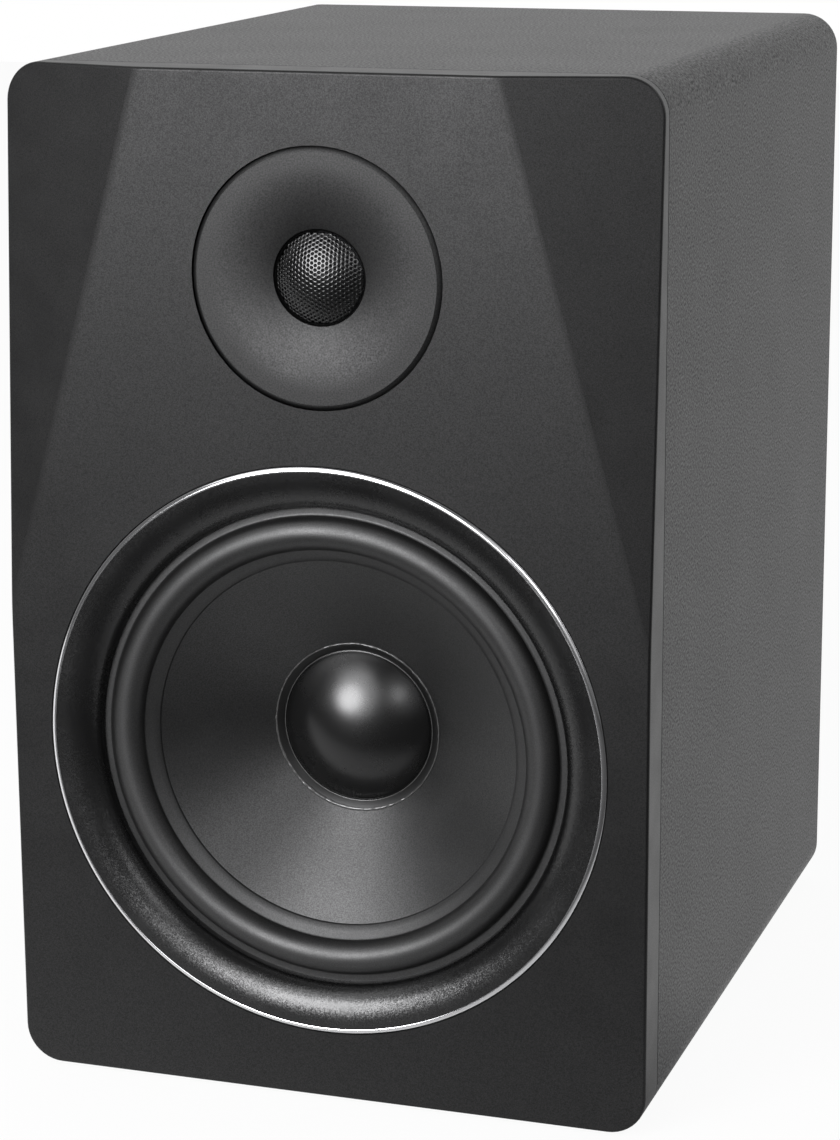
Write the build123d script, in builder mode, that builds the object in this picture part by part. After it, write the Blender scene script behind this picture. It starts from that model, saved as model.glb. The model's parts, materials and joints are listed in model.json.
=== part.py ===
from build123d import *
import os
from math import atan, cos, hypot, radians, sin, sqrt, tan

# Bookshelf speaker, two-way, in millimetres.
# X is to the right seen from the front, the front faces -Y, and Z is up.
# The origin is under the middle of the speaker, on the surface that it stands on.

os.makedirs("parts", exist_ok=True)

# Cabinet
cabinet_width = 258.0
cabinet_height = 400.0
cabinet_depth = 318.0
corner_radius = 15.0
panel_thickness = 15.0
wrap_thickness = 0.4
baffle_thickness = 18.6
seam_width = 0.6
seam_depth = 1.0
edge_round = 1.2
foot_height = 2.0
foot_radius = 9.0
foot_spacing_x = 200.0
foot_spacing_y = 250.0
foot_chamfer = 0.5
brace_thickness = 12.0
brace_above_bottom = 242.0
brace_window_width = 170.0
brace_window_depth = 110.0
brace_window_corner = 20.0
brace_window_spacing = 136.0
wadding_thickness = 15.0
wadding_gap = 1.0
wadding_front = 45.0
wadding_length = 240.0
lower_wadding_height = 190.0
lower_wadding_lift = 30.0

# Facets of the baffle: where the crease meets the top and the side, and how far the square corner drops
facet_top_x = 69.5
facet_side_drop = 215.0
facet_corner_depth = 13.5
facet_blend_radius = 16.0
facet_cut_margin = 5.0

# Woofer, radii from its axis and depths behind the front of the baffle
woofer_above_bottom = 140.0
bezel_proud = 0.8
bezel_outer = 113.0
bezel_inner = 110.9
bezel_bevel = 1.2
bezel_crown_radius = 0.35
woofer_recess_radius = 113.3
woofer_recess_depth = 9.0
woofer_hole_radius = 102.2
basket_flange_radius = 110.5
basket_flange_depth = 5.2
basket_flange_thickness = 2.5
basket_step_radius = 99.5
basket_ledge_inner = 90.5
basket_sheet = 2.0
bowl_end_radius = 68.0
bowl_end_depth = 50.0
bowl_wall = 2.2
spider_ledge_outer = 66.5
spider_ledge_inner = 57.5
motor_seat_radius = 50.0
motor_seat_bore = 24.0
seat_wall = 1.2
window_outer = 87.0
window_inner = 70.5
window_front = 15.0
window_depth = 35.0
spoke_width = 16.0
spoke_count = 6
trim_inner = 95.0
trim_inner_depth = 10.0
screw_channel_half = 3.7
screw_channel_depth = 3.6
lip_clearance = 0.2
surround_flange_depth = 10.5
surround_thickness = 1.0
surround_flange_outer = 99.0
roll_radius = 6.8
roll_centre = 85.2
roll_centre_depth = 11.6
lip_inner = 73.1
lip_thickness = 0.7
lip_upstand = 0.6
cone_lip_depth = 15.4
cone_slope = 0.636
cone_thickness = 1.2
cone_neck = 19.5
cap_flange_outer = 33.7
cap_dome_radius = 30.5
cap_dome_height = 12.0
cap_thickness = 0.8
former_inner = 19.0
former_outer = 19.3
former_stub = 2.0
former_tail = 1.0
winding_outer = 20.0
winding_length = 12.0
winding_overhang = 3.0
coil_gap = 0.6
pole_gap = 0.5
spider_depth = 56.0
spider_outer = 65.5
spider_waves = 5
spider_wave_start = 26.0
spider_wave_end = 57.0
spider_wave_height = 1.6
spider_thickness = 0.8
spider_glue_gap = 0.1
motor_depth = 66.0
plate_radius = 52.0
top_plate_thickness = 6.0
back_plate_thickness = 6.0
magnet_radius = 57.5
magnet_bore = 29.0
magnet_thickness = 20.0
magnet_chamfer = 1.5
pole_vent_radius = 6.0
woofer_screw_circle = 106.0
woofer_screw_count = 8
woofer_screw_angle = 22.5
woofer_screw_length = 12.0
woofer_pilot_radius = 2.0
woofer_pilot_depth = 9.0
screw_head_radius = 3.3
screw_head_height = 1.4
screw_hole_clearance = 0.5
strip_drop = 64.0
strip_width = 30.0
strip_height = 8.0
strip_thickness = 1.6
tab_x = 9.0
tab_drop = 69.0
tab_width = 5.0
tab_length = 8.0
lead_radius = 0.6
lead_start = 36.0
lead_bend = 3.0
lead_end_gap = 0.2
lead_glue_gap = 1.0

# Tweeter, radii from its axis and depths behind the front of the baffle
tweeter_above_bottom = 323.7
waveguide_radius = 49.0
waveguide_face_radius = 47.2
waveguide_edge_drop = 1.0
waveguide_flange = 4.5
waveguide_back = 9.5
waveguide_spigot_radius = 38.0
flare_radius = 90.0
flare_end = 24.0
throat_flare_radius = 60.0
throat_slope = 20.7
tweeter_recess_radius = 49.4
tweeter_gasket_thickness = 0.8
tweeter_hole_radius = 39.2
tweeter_boss_circle = 44.4
tweeter_boss_radius = 3.5
tweeter_boss_count = 4
tweeter_boss_angle = 45.0
boss_clearance = 0.3
boss_hole_radius = 1.6
boss_floor = 4.0
tweeter_screw_radius = 1.5
tweeter_screw_head = 5.0
tweeter_head_height = 2.0
grille_radius = 18.0
grille_apex_depth = -0.6
grille_thickness = 0.6
grille_seat = 0.2
skirt_gap = 0.4
dome_radius = 12.7
dome_apex_depth = 4.5
dome_thickness = 0.4
dome_seat = 0.2
suspension_thickness = 0.4
suspension_outer = 21.0
tweeter_roll_radius = 2.1
tweeter_coil_half = 0.2
tweeter_coil_length = 5.0
tweeter_gap = 0.7
tweeter_plate_radius = 36.0
tweeter_plate = 3.0
tweeter_magnet_thickness = 8.0
tweeter_magnet_bore = 18.0
tweeter_pole_drop = 0.6
tweeter_vent_radius = 4.0
chamber_radius = 29.0
chamber_length = 16.0
chamber_wall = 1.5
chamber_fillet = 3.0
tweeter_tab_x = 6.0
tweeter_tab_drop = 33.0
tweeter_tab_width = 5.0
tweeter_tab_thickness = 0.8
tweeter_tab_length = 8.0

# Rear fittings
rear_flange = 2.5
rear_hole_clearance = 0.5
port_above_bottom = 308.0
port_radius = 27.5
port_wall = 2.5
port_length = 130.0
port_flare_radius = 13.0
port_flange_radius = 46.0
port_neck_radius = 36.0
port_neck_length = 8.0
port_chamfer = 1.0
cup_above_bottom = 108.0
cup_flange_width = 108.0
cup_flange_height = 88.0
cup_pocket_width = 80.0
cup_pocket_height = 60.0
cup_depth = 26.0
cup_wall = 2.5
cup_corner = 6.0
cup_flange_corner = 9.0
cup_chamfer = 0.8
cup_screw_inset = 6.5
cup_screw_length = 12.0
cup_screw_radius = 1.45
cup_pilot_radius = 1.5
cup_hole_radius = 1.8
cup_sink_radius = 3.5
cup_head_radius = 3.3
cup_head_height = 1.85
cross_length = 3.6
cross_width = 0.7
cross_depth = 0.8
post_spacing = 30.0
post_radius = 3.2
post_length = 22.0
post_tail = 12.0
socket_radius = 2.0
socket_depth = 18.0
collar_radius = 9.0
collar_height = 3.0
washer_radius = 7.0
washer_thickness = 1.2
nut_radius = 7.5
nut_length = 13.0
nut_flutes = 18
flute_radius = 0.95
flute_offset = 0.35
nut_end_length = 3.0
nut_end_step = 0.8
nut_chamfer = 1.0
back_nut_flat = 5.0
back_nut_height = 4.0
thread_clearance = 0.05

# Crossover and wiring
board_width = 140.0
board_depth = 100.0
board_thickness = 1.6
board_lift = 8.0
board_front = 145.0
board_hole_inset = 6.0
board_hole_radius = 1.8
spacer_radius = 4.0
board_screw_radius = 1.6
board_head_radius = 3.2
board_head_height = 1.8
bobbin_flange = 2.0
bobbin_lip = 1.5
bobbin_bore_share = 0.45
can_chamfer = 1.0
resistor_x = 48.0
resistor_y = 26.0
resistor_length = 36.0
resistor_side = 9.0
wire_radius = 1.2
wire_bend = 9.0

# Places worked out from the sizes above
overall_depth = bezel_proud + cabinet_depth + rear_flange
front_y = bezel_proud - overall_depth / 2
rear_y = front_y + cabinet_depth
bottom_z = foot_height
top_z = bottom_z + cabinet_height
mid_z = (bottom_z + top_z) / 2
woofer_z = bottom_z + woofer_above_bottom
tweeter_z = bottom_z + tweeter_above_bottom
port_z = bottom_z + port_above_bottom
cup_z = bottom_z + cup_above_bottom
brace_z = bottom_z + brace_above_bottom
floor_z = bottom_z + panel_thickness
core_width = cabinet_width - 2 * wrap_thickness
core_height = cabinet_height - 2 * wrap_thickness
core_radius = corner_radius - wrap_thickness
inner_width = core_width - 2 * panel_thickness
inner_height = core_height - 2 * panel_thickness
shell_depth = cabinet_depth - baffle_thickness

# Planes that face the front, with local x along X and local y along Z
front_plane = Plane(origin=(0, front_y, mid_z), x_dir=(1, 0, 0), z_dir=(0, -1, 0))
shell_plane = front_plane.offset(-baffle_thickness)
woofer_face = Plane(origin=(0, front_y, woofer_z), x_dir=(1, 0, 0), z_dir=(0, -1, 0))
tweeter_face = Plane(origin=(0, front_y, tweeter_z), x_dir=(1, 0, 0), z_dir=(0, -1, 0))

# Planes for turned profiles, with local x as the radius and local y as the depth behind the front
woofer_section = Plane(origin=(0, front_y, woofer_z))
tweeter_section = Plane(origin=(0, front_y, tweeter_z))
woofer_axis = Axis((0, front_y, woofer_z), (0, 1, 0))
tweeter_axis = Axis((0, front_y, tweeter_z), (0, 1, 0))

# Planes on the back, facing backwards, with local x along -X and local y along Z
cup_face = Plane(origin=(0, rear_y, cup_z), x_dir=(-1, 0, 0), z_dir=(0, 1, 0))
port_section = Plane(origin=(0, rear_y, port_z))
port_axis = Axis((0, rear_y, port_z), (0, 1, 0))


def save(piece, name):
    """Labels a finished piece and writes it to its own file."""
    piece.part.label = name
    export_step(piece.part, f"parts/{name}.step")


def outline_distance(point):
    """Distance from a point to the rounded outline of the cabinet, seen from the front."""
    across = abs(point.X) - (cabinet_width / 2 - corner_radius)
    up = abs(point.Z - mid_z) - (cabinet_height / 2 - corner_radius)
    outside = hypot(max(across, 0), max(up, 0)) + min(max(across, up), 0)
    return abs(outside - corner_radius)


def cone_depth(radius):
    """Depth of the front of the cone at a radius."""
    return cone_lip_depth + cone_slope * (lip_inner - radius)


def dome_depth(radius, centre, sphere):
    """Depth at a radius of a sphere whose centre is on the axis, at the depth called centre."""
    return centre - sqrt(sphere**2 - radius**2)


def sphere_over(radius, rise):
    """Radius of the sphere whose cap has this base radius and rise."""
    return (radius**2 + rise**2) / (2 * rise)


# Cabinet panels, mitred at the corners and rounded outside
half_w = core_width / 2
half_h = core_height / 2
inner_w = inner_width / 2
inner_h = inner_height / 2
panel_wedges = {
    "top_panel": [(-half_w, half_h), (half_w, half_h), (inner_w, inner_h), (-inner_w, inner_h)],
    "bottom_panel": [(-half_w, -half_h), (half_w, -half_h), (inner_w, -inner_h), (-inner_w, -inner_h)],
    "left_side_panel": [(-half_w, -half_h), (-half_w, half_h), (-inner_w, inner_h), (-inner_w, -inner_h)],
    "right_side_panel": [(half_w, -half_h), (half_w, half_h), (inner_w, inner_h), (inner_w, -inner_h)],
}
for panel_name, wedge in panel_wedges.items():
    with BuildPart() as panel:
        with BuildSketch(shell_plane):
            RectangleRounded(core_width, core_height, core_radius)
            Rectangle(inner_width, inner_height, mode=Mode.SUBTRACT)
            Polygon(*wedge, align=None, mode=Mode.INTERSECT)
        extrude(amount=-shell_depth)
    save(panel, panel_name)

# Vinyl skin folded round the four panels
with BuildPart() as vinyl_wrap:
    with BuildSketch(shell_plane):
        RectangleRounded(cabinet_width, cabinet_height, corner_radius)
        RectangleRounded(core_width, core_height, core_radius, mode=Mode.SUBTRACT)
    extrude(amount=-shell_depth)
save(vinyl_wrap, "vinyl_wrap")

# Rear panel, let in between the four panels
cup_body_width = cup_pocket_width + 2 * cup_wall
cup_body_height = cup_pocket_height + 2 * cup_wall
cup_screw_spacing = (cup_flange_width - 2 * cup_screw_inset, cup_flange_height - 2 * cup_screw_inset)
with BuildPart() as rear_panel:
    with BuildSketch(front_plane.offset(-(cabinet_depth - panel_thickness))):
        Rectangle(inner_width, inner_height)
        with Locations((0, port_z - mid_z)):
            Circle(port_neck_radius + rear_hole_clearance, mode=Mode.SUBTRACT)
        with Locations((0, cup_z - mid_z)):
            RectangleRounded(
                cup_body_width + 2 * rear_hole_clearance,
                cup_body_height + 2 * rear_hole_clearance,
                cup_corner,
                mode=Mode.SUBTRACT,
            )
    extrude(amount=-panel_thickness)
    with BuildSketch(cup_face):
        with GridLocations(*cup_screw_spacing, 2, 2):
            Circle(cup_pilot_radius)
    extrude(amount=-cup_screw_length, mode=Mode.SUBTRACT)
save(rear_panel, "rear_panel")

# Front baffle: a thick board whose two upper corners fall back in soft-edged facets
facet_run = cabinet_width / 2 - facet_top_x
facet_length = hypot(facet_run, facet_side_drop)
facet_reach = facet_run * facet_side_drop / facet_length
facet_slope = facet_corner_depth / facet_reach
facet_angle = atan(facet_slope)
blend_half = facet_blend_radius * tan(facet_angle / 2)
facet_overrun = facet_reach + 2 * facet_cut_margin
rim_tolerance = 0.1
with BuildPart() as front_baffle:
    with BuildSketch(front_plane):
        RectangleRounded(cabinet_width, cabinet_height, corner_radius)
    extrude(amount=-(baffle_thickness - seam_width))
    with BuildSketch(front_plane.offset(-(baffle_thickness - seam_width))):
        RectangleRounded(
            cabinet_width - 2 * seam_depth,
            cabinet_height - 2 * seam_depth,
            corner_radius - seam_depth,
        )
    extrude(amount=-seam_width)
    for side in (-1, 1):
        crease_plane = Plane(
            origin=(side * (facet_top_x + facet_run / 2), front_y, top_z - facet_side_drop / 2),
            x_dir=(side * facet_side_drop, 0, facet_run),
            z_dir=(facet_run, 0, -side * facet_side_drop),
        )
        with BuildSketch(crease_plane):
            with BuildLine():
                blend = TangentArc(
                    (-blend_half, 0),
                    (blend_half * cos(facet_angle), -blend_half * sin(facet_angle)),
                    tangent=(1, 0),
                )
                Polyline(
                    blend @ 1,
                    (facet_overrun, -facet_overrun * facet_slope),
                    (facet_overrun, facet_cut_margin),
                    (-blend_half, facet_cut_margin),
                    blend @ 0,
                )
            make_face()
        extrude(amount=facet_length, both=True, mode=Mode.SUBTRACT)
    rim_edges = front_baffle.edges().filter_by(Axis.Y, reverse=True).filter_by(
        lambda edge: outline_distance(edge.center()) < rim_tolerance
        and edge.center().Y < front_y + facet_corner_depth
    )
    fillet(rim_edges, edge_round)
    with BuildSketch(woofer_face):
        Circle(woofer_recess_radius)
    extrude(amount=-woofer_recess_depth, mode=Mode.SUBTRACT)
    with BuildSketch(woofer_face):
        Circle(woofer_hole_radius)
    extrude(amount=-baffle_thickness, mode=Mode.SUBTRACT)
    with BuildSketch(woofer_face.offset(-woofer_recess_depth)):
        with PolarLocations(woofer_screw_circle, woofer_screw_count, woofer_screw_angle):
            Circle(woofer_pilot_radius)
    extrude(amount=-woofer_pilot_depth, mode=Mode.SUBTRACT)
    with BuildSketch(tweeter_face):
        Circle(tweeter_recess_radius)
    extrude(amount=-(waveguide_flange + tweeter_gasket_thickness), mode=Mode.SUBTRACT)
    with BuildSketch(tweeter_face):
        Circle(tweeter_hole_radius)
        with PolarLocations(tweeter_boss_circle, tweeter_boss_count, tweeter_boss_angle):
            Circle(tweeter_boss_radius + boss_clearance)
    extrude(amount=-baffle_thickness, mode=Mode.SUBTRACT)
save(front_baffle, "front_baffle")

# Shelf brace inside, with two windows for air and wires
with BuildPart() as window_brace:
    with BuildSketch(Plane(origin=(0, front_y + baffle_thickness, brace_z))):
        brace_length = shell_depth - panel_thickness
        with Locations((0, brace_length / 2)):
            Rectangle(inner_width, brace_length)
            with GridLocations(0, brace_window_spacing, 1, 2):
                RectangleRounded(
                    brace_window_width, brace_window_depth, brace_window_corner, mode=Mode.SUBTRACT
                )
    extrude(amount=brace_thickness)
save(window_brace, "window_brace")

# Polyester wadding: an arch above the brace, and a pad on each side below it
upper_wadding_base = brace_z + brace_thickness + wadding_gap
upper_wadding_top = top_z - wrap_thickness - panel_thickness
with BuildPart() as upper_wadding:
    with BuildSketch(front_plane.offset(-wadding_front)):
        with Locations((0, (upper_wadding_base + upper_wadding_top) / 2 - mid_z)):
            Rectangle(inner_width, upper_wadding_top - upper_wadding_base)
        with Locations((0, (upper_wadding_base + upper_wadding_top - wadding_thickness) / 2 - mid_z)):
            Rectangle(
                inner_width - 2 * wadding_thickness,
                upper_wadding_top - upper_wadding_base - wadding_thickness,
                mode=Mode.SUBTRACT,
            )
    extrude(amount=-wadding_length)
save(upper_wadding, "upper_wadding")

with BuildPart() as lower_wadding:
    with BuildSketch(front_plane.offset(-wadding_front)):
        with Locations((0, floor_z + lower_wadding_lift + lower_wadding_height / 2 - mid_z)):
            with GridLocations(inner_width - wadding_thickness, 0, 2, 1):
                Rectangle(wadding_thickness, lower_wadding_height)
    extrude(amount=-wadding_length)
save(lower_wadding, "lower_wadding")

# Four rubber feet stuck under the bottom
with BuildPart() as rubber_feet:
    with BuildSketch():
        with GridLocations(foot_spacing_x, foot_spacing_y, 2, 2):
            Circle(foot_radius)
    extrude(amount=foot_height)
    chamfer(rubber_feet.faces().sort_by(Axis.Z)[:4].edges(), foot_chamfer)
save(rubber_feet, "rubber_feet")

# Woofer basket: flange, step, surround ledge, slotted bowl, spider ledge and motor seat
ledge_depth = surround_flange_depth + surround_thickness
spider_ledge_depth = spider_depth + spider_thickness
basket_front = [
    (basket_flange_radius, basket_flange_depth),
    (basket_step_radius, basket_flange_depth),
    (basket_step_radius, ledge_depth),
    (basket_ledge_inner, ledge_depth),
    (bowl_end_radius, bowl_end_depth),
    (spider_ledge_outer, spider_ledge_depth),
    (spider_ledge_inner, spider_ledge_depth),
    (motor_seat_radius, motor_depth - basket_sheet),
    (motor_seat_bore, motor_depth - basket_sheet),
]
basket_back = [
    (motor_seat_bore, motor_depth),
    (motor_seat_radius + seat_wall, motor_depth),
    (spider_ledge_inner + seat_wall, spider_ledge_depth + basket_sheet),
    (spider_ledge_outer + bowl_wall, spider_ledge_depth + basket_sheet),
    (bowl_end_radius + bowl_wall, bowl_end_depth),
    (basket_ledge_inner + seat_wall, ledge_depth + basket_sheet),
    (basket_step_radius + basket_sheet, ledge_depth + basket_sheet),
    (basket_step_radius + basket_sheet, basket_flange_depth + basket_flange_thickness),
    (basket_flange_radius, basket_flange_depth + basket_flange_thickness),
]
with BuildPart() as woofer_basket:
    with BuildSketch(woofer_section):
        Polygon(*basket_front, *basket_back, align=None)
    revolve(axis=woofer_axis)
    with BuildSketch(woofer_face.offset(-window_front)):
        Circle(window_outer)
        Circle(window_inner, mode=Mode.SUBTRACT)
        with PolarLocations((window_outer + window_inner) / 2, spoke_count):
            Rectangle(2 * (window_outer - window_inner), spoke_width, mode=Mode.SUBTRACT)
    extrude(amount=-window_depth, mode=Mode.SUBTRACT)
    with BuildSketch(woofer_face.offset(-basket_flange_depth)):
        with PolarLocations(woofer_screw_circle, woofer_screw_count, woofer_screw_angle):
            Circle(woofer_pilot_radius + screw_hole_clearance)
    extrude(amount=-basket_flange_thickness, mode=Mode.SUBTRACT)
save(woofer_basket, "woofer_basket")

# Foam gasket under the basket flange
with BuildPart() as woofer_gasket:
    with BuildSketch(woofer_face.offset(-(basket_flange_depth + basket_flange_thickness))):
        Circle(basket_flange_radius)
        Circle(woofer_hole_radius, mode=Mode.SUBTRACT)
        with PolarLocations(woofer_screw_circle, woofer_screw_count, woofer_screw_angle):
            Circle(woofer_pilot_radius + screw_hole_clearance, mode=Mode.SUBTRACT)
    extrude(amount=-(woofer_recess_depth - basket_flange_depth - basket_flange_thickness))
save(woofer_gasket, "woofer_gasket")

# Wood screws that hold the basket, hidden under the trim ring
with BuildPart() as woofer_screws:
    with BuildSketch(woofer_face.offset(-(basket_flange_depth - screw_head_height))):
        with PolarLocations(woofer_screw_circle, woofer_screw_count, woofer_screw_angle):
            Circle(screw_head_radius)
    extrude(amount=-screw_head_height)
    with BuildSketch(woofer_face.offset(-basket_flange_depth)):
        with PolarLocations(woofer_screw_circle, woofer_screw_count, woofer_screw_angle):
            Circle(woofer_pilot_radius - thread_clearance)
    extrude(amount=-woofer_screw_length)
save(woofer_screws, "woofer_screws")

# Bright hoop round the trim ring, with a bevel that faces outwards and a softened crown
with BuildPart() as woofer_bezel:
    with BuildSketch(woofer_section) as bezel_section:
        Polygon(
            (bezel_inner, -bezel_proud),
            (bezel_outer - bezel_bevel, -bezel_proud),
            (bezel_outer, bezel_bevel - bezel_proud),
            (bezel_outer, woofer_recess_depth),
            (bezel_inner, woofer_recess_depth),
            align=None,
        )
        fillet(bezel_section.vertices().sort_by(Axis.Y)[:2], bezel_crown_radius)
    revolve(axis=woofer_axis)
save(woofer_bezel, "woofer_bezel")

# Trim ring: its face is a quarter of an ellipse that rolls in and down, with a channel for the screw heads
trim_outer_depth = bezel_proud / 2
trim_across = bezel_inner - trim_inner
trim_down = trim_inner_depth + trim_outer_depth
lip_outer = surround_flange_outer + lip_clearance
with BuildPart() as woofer_trim_ring:
    with BuildSketch(woofer_section):
        with BuildLine():
            EllipticalCenterArc(
                (bezel_inner, trim_inner_depth), trim_across, trim_down, start_angle=180, arc_size=90
            )
            Polyline(
                (bezel_inner, -trim_outer_depth),
                (bezel_inner, basket_flange_depth),
                (woofer_screw_circle + screw_channel_half, basket_flange_depth),
                (woofer_screw_circle + screw_channel_half, screw_channel_depth),
                (woofer_screw_circle - screw_channel_half, screw_channel_depth),
                (woofer_screw_circle - screw_channel_half, basket_flange_depth),
                (lip_outer, basket_flange_depth),
                (lip_outer, surround_flange_depth),
                (trim_inner, surround_flange_depth),
                (trim_inner, trim_inner_depth),
            )
        make_face()
    revolve(axis=woofer_axis)
save(woofer_trim_ring, "woofer_trim_ring")

# Rubber surround: outer flange, half roll, and a lip glued to the front of the cone
roll_inner_radius = roll_radius - surround_thickness
roll_foot = roll_centre - roll_radius
flange_inner = roll_centre + roll_inner_radius
with BuildPart() as woofer_surround:
    with BuildSketch(woofer_section):
        with Locations((roll_centre, roll_centre_depth)):
            Circle(roll_radius)
            Circle(roll_inner_radius, mode=Mode.SUBTRACT)
        with Locations((roll_centre, ledge_depth + roll_radius)):
            Rectangle(3 * roll_radius, 2 * roll_radius, mode=Mode.SUBTRACT)
        with Locations(((flange_inner + surround_flange_outer) / 2, ledge_depth - surround_thickness / 2)):
            Rectangle(surround_flange_outer - flange_inner, surround_thickness)
        Polygon(
            (roll_foot, cone_depth(roll_foot) - lip_thickness - lip_upstand),
            (roll_foot + surround_thickness, cone_depth(roll_foot) - lip_thickness - lip_upstand),
            (roll_foot + surround_thickness, cone_depth(roll_foot)),
            (roll_foot, cone_depth(roll_foot)),
            (lip_inner, cone_lip_depth),
            (lip_inner, cone_lip_depth - lip_thickness),
            align=None,
        )
    revolve(axis=woofer_axis)
save(woofer_surround, "woofer_surround")

# Cone, straight from the surround to the voice coil
with BuildPart() as woofer_cone:
    with BuildSketch(woofer_section):
        Polygon(
            (roll_foot, cone_depth(roll_foot)),
            (cone_neck, cone_depth(cone_neck)),
            (cone_neck, cone_depth(cone_neck) + cone_thickness),
            (roll_foot, cone_depth(roll_foot) + cone_thickness),
            align=None,
        )
    revolve(axis=woofer_axis)
save(woofer_cone, "woofer_cone")

# Dust cap: a shallow dome on a ring that is glued to the cone
cap_base_depth = cone_depth(cap_dome_radius) - cap_thickness
cap_apex_depth = cap_base_depth - cap_dome_height
cap_sphere = sphere_over(cap_dome_radius, cap_dome_height)
cap_centre = cap_apex_depth + cap_sphere
cap_middle = cap_dome_radius / 2
cap_inner = cap_dome_radius - cap_thickness
cap_inner_sphere = cap_sphere - cap_thickness
with BuildPart() as woofer_dust_cap:
    with BuildSketch(woofer_section):
        with BuildLine():
            ThreePointArc(
                (0, cap_apex_depth),
                (cap_middle, dome_depth(cap_middle, cap_centre, cap_sphere)),
                (cap_dome_radius, cap_base_depth),
            )
            Polyline(
                (cap_dome_radius, cap_base_depth),
                (cap_flange_outer, cone_depth(cap_flange_outer) - cap_thickness),
                (cap_flange_outer, cone_depth(cap_flange_outer)),
                (cap_inner, cone_depth(cap_inner)),
                (cap_inner, dome_depth(cap_inner, cap_centre, cap_inner_sphere)),
            )
            ThreePointArc(
                (cap_inner, dome_depth(cap_inner, cap_centre, cap_inner_sphere)),
                (cap_middle, dome_depth(cap_middle, cap_centre, cap_inner_sphere)),
                (0, cap_apex_depth + cap_thickness),
            )
            Line((0, cap_apex_depth + cap_thickness), (0, cap_apex_depth))
        make_face()
    revolve(axis=woofer_axis)
save(woofer_dust_cap, "woofer_dust_cap")

# Voice coil: a thin former glued in the neck of the cone, and the winding on its end
winding_front = motor_depth - winding_overhang
former_front = cone_depth(cone_neck) - former_stub
with BuildPart() as voice_coil_former:
    with BuildSketch(woofer_face.offset(-former_front)):
        Circle(former_outer)
        Circle(former_inner, mode=Mode.SUBTRACT)
    extrude(amount=-(winding_front + winding_length + former_tail - former_front))
save(voice_coil_former, "voice_coil_former")

with BuildPart() as voice_coil_winding:
    with BuildSketch(woofer_face.offset(-winding_front)):
        Circle(winding_outer)
        Circle(former_outer, mode=Mode.SUBTRACT)
    extrude(amount=-winding_length)
save(voice_coil_winding, "voice_coil_winding")

# Spider: a corrugated cloth disc that centres the coil
spider_inner = former_outer + spider_glue_gap
spider_pitch = (spider_wave_end - spider_wave_start) / spider_waves
spider_points = [(spider_inner, spider_depth)]
for wave in range(spider_waves):
    wave_start = spider_wave_start + wave * spider_pitch
    spider_points.append((wave_start, spider_depth))
    spider_points.append((wave_start + spider_pitch / 4, spider_depth - spider_wave_height))
    spider_points.append((wave_start + 3 * spider_pitch / 4, spider_depth + spider_wave_height))
spider_points.append((spider_wave_end, spider_depth))
spider_points.append((spider_outer, spider_depth))
spider_back = [(radius, depth + spider_thickness) for radius, depth in reversed(spider_points)]
with BuildPart() as woofer_spider:
    with BuildSketch(woofer_section):
        Polygon(*spider_points, *spider_back, align=None)
    revolve(axis=woofer_axis)
save(woofer_spider, "woofer_spider")

# Woofer motor: top plate, ferrite ring, and a back plate with its pole
magnet_depth = motor_depth + top_plate_thickness
back_plate_depth = magnet_depth + magnet_thickness
pole_radius = former_inner - pole_gap
with BuildPart() as woofer_top_plate:
    with BuildSketch(woofer_face.offset(-motor_depth)):
        Circle(plate_radius)
        Circle(winding_outer + coil_gap, mode=Mode.SUBTRACT)
    extrude(amount=-top_plate_thickness)
save(woofer_top_plate, "woofer_top_plate")

with BuildPart() as woofer_magnet:
    with BuildSketch(woofer_face.offset(-magnet_depth)):
        Circle(magnet_radius)
        Circle(magnet_bore, mode=Mode.SUBTRACT)
    extrude(amount=-magnet_thickness)
    chamfer(woofer_magnet.edges().filter_by(GeomType.CIRCLE).sort_by(Edge.length)[-2:], magnet_chamfer)
save(woofer_magnet, "woofer_magnet")

with BuildPart() as woofer_pole_piece:
    with BuildSketch(woofer_face.offset(-back_plate_depth)):
        Circle(plate_radius)
    extrude(amount=-back_plate_thickness)
    with BuildSketch(woofer_face.offset(-motor_depth)):
        Circle(pole_radius)
    extrude(amount=-(back_plate_depth - motor_depth))
    with BuildSketch(woofer_face.offset(-motor_depth)):
        Circle(pole_vent_radius)
    extrude(amount=-(back_plate_depth + back_plate_thickness - motor_depth), mode=Mode.SUBTRACT)
save(woofer_pole_piece, "woofer_pole_piece")

# Terminal strip under the spider ledge, with two tabs that point out of a window of the basket
strip_depth = spider_ledge_depth + basket_sheet
with BuildPart() as woofer_terminal_strip:
    with BuildSketch(woofer_face.offset(-strip_depth)):
        with Locations((0, -strip_drop)):
            Rectangle(strip_width, strip_height)
        with Locations((-tab_x, -tab_drop), (tab_x, -tab_drop)):
            Rectangle(tab_width, tab_length)
    extrude(amount=-strip_thickness)
save(woofer_terminal_strip, "woofer_terminal_strip")

# Tinsel leads from the back of the cone, out through a window and round to the tabs, as radius and depth
lead_tab_depth = strip_depth + strip_thickness / 2
lead_route = [
    (lead_start, cone_depth(lead_start) + cone_thickness + lead_glue_gap),
    (58, 44),
    (80, 41),
    (80, lead_tab_depth),
    (tab_drop + tab_length / 2 + lead_end_gap, lead_tab_depth),
]
with BuildPart() as tinsel_leads:
    for side in (-1, 1):
        with BuildLine() as lead:
            FilletPolyline(
                *[(side * tab_x, front_y + depth, woofer_z - radius) for radius, depth in lead_route],
                radius=lead_bend,
            )
        with BuildSketch(Plane(origin=lead.line @ 0, z_dir=lead.line % 0)):
            Circle(lead_radius)
        sweep(path=lead.line)
save(tinsel_leads, "tinsel_leads")

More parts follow.
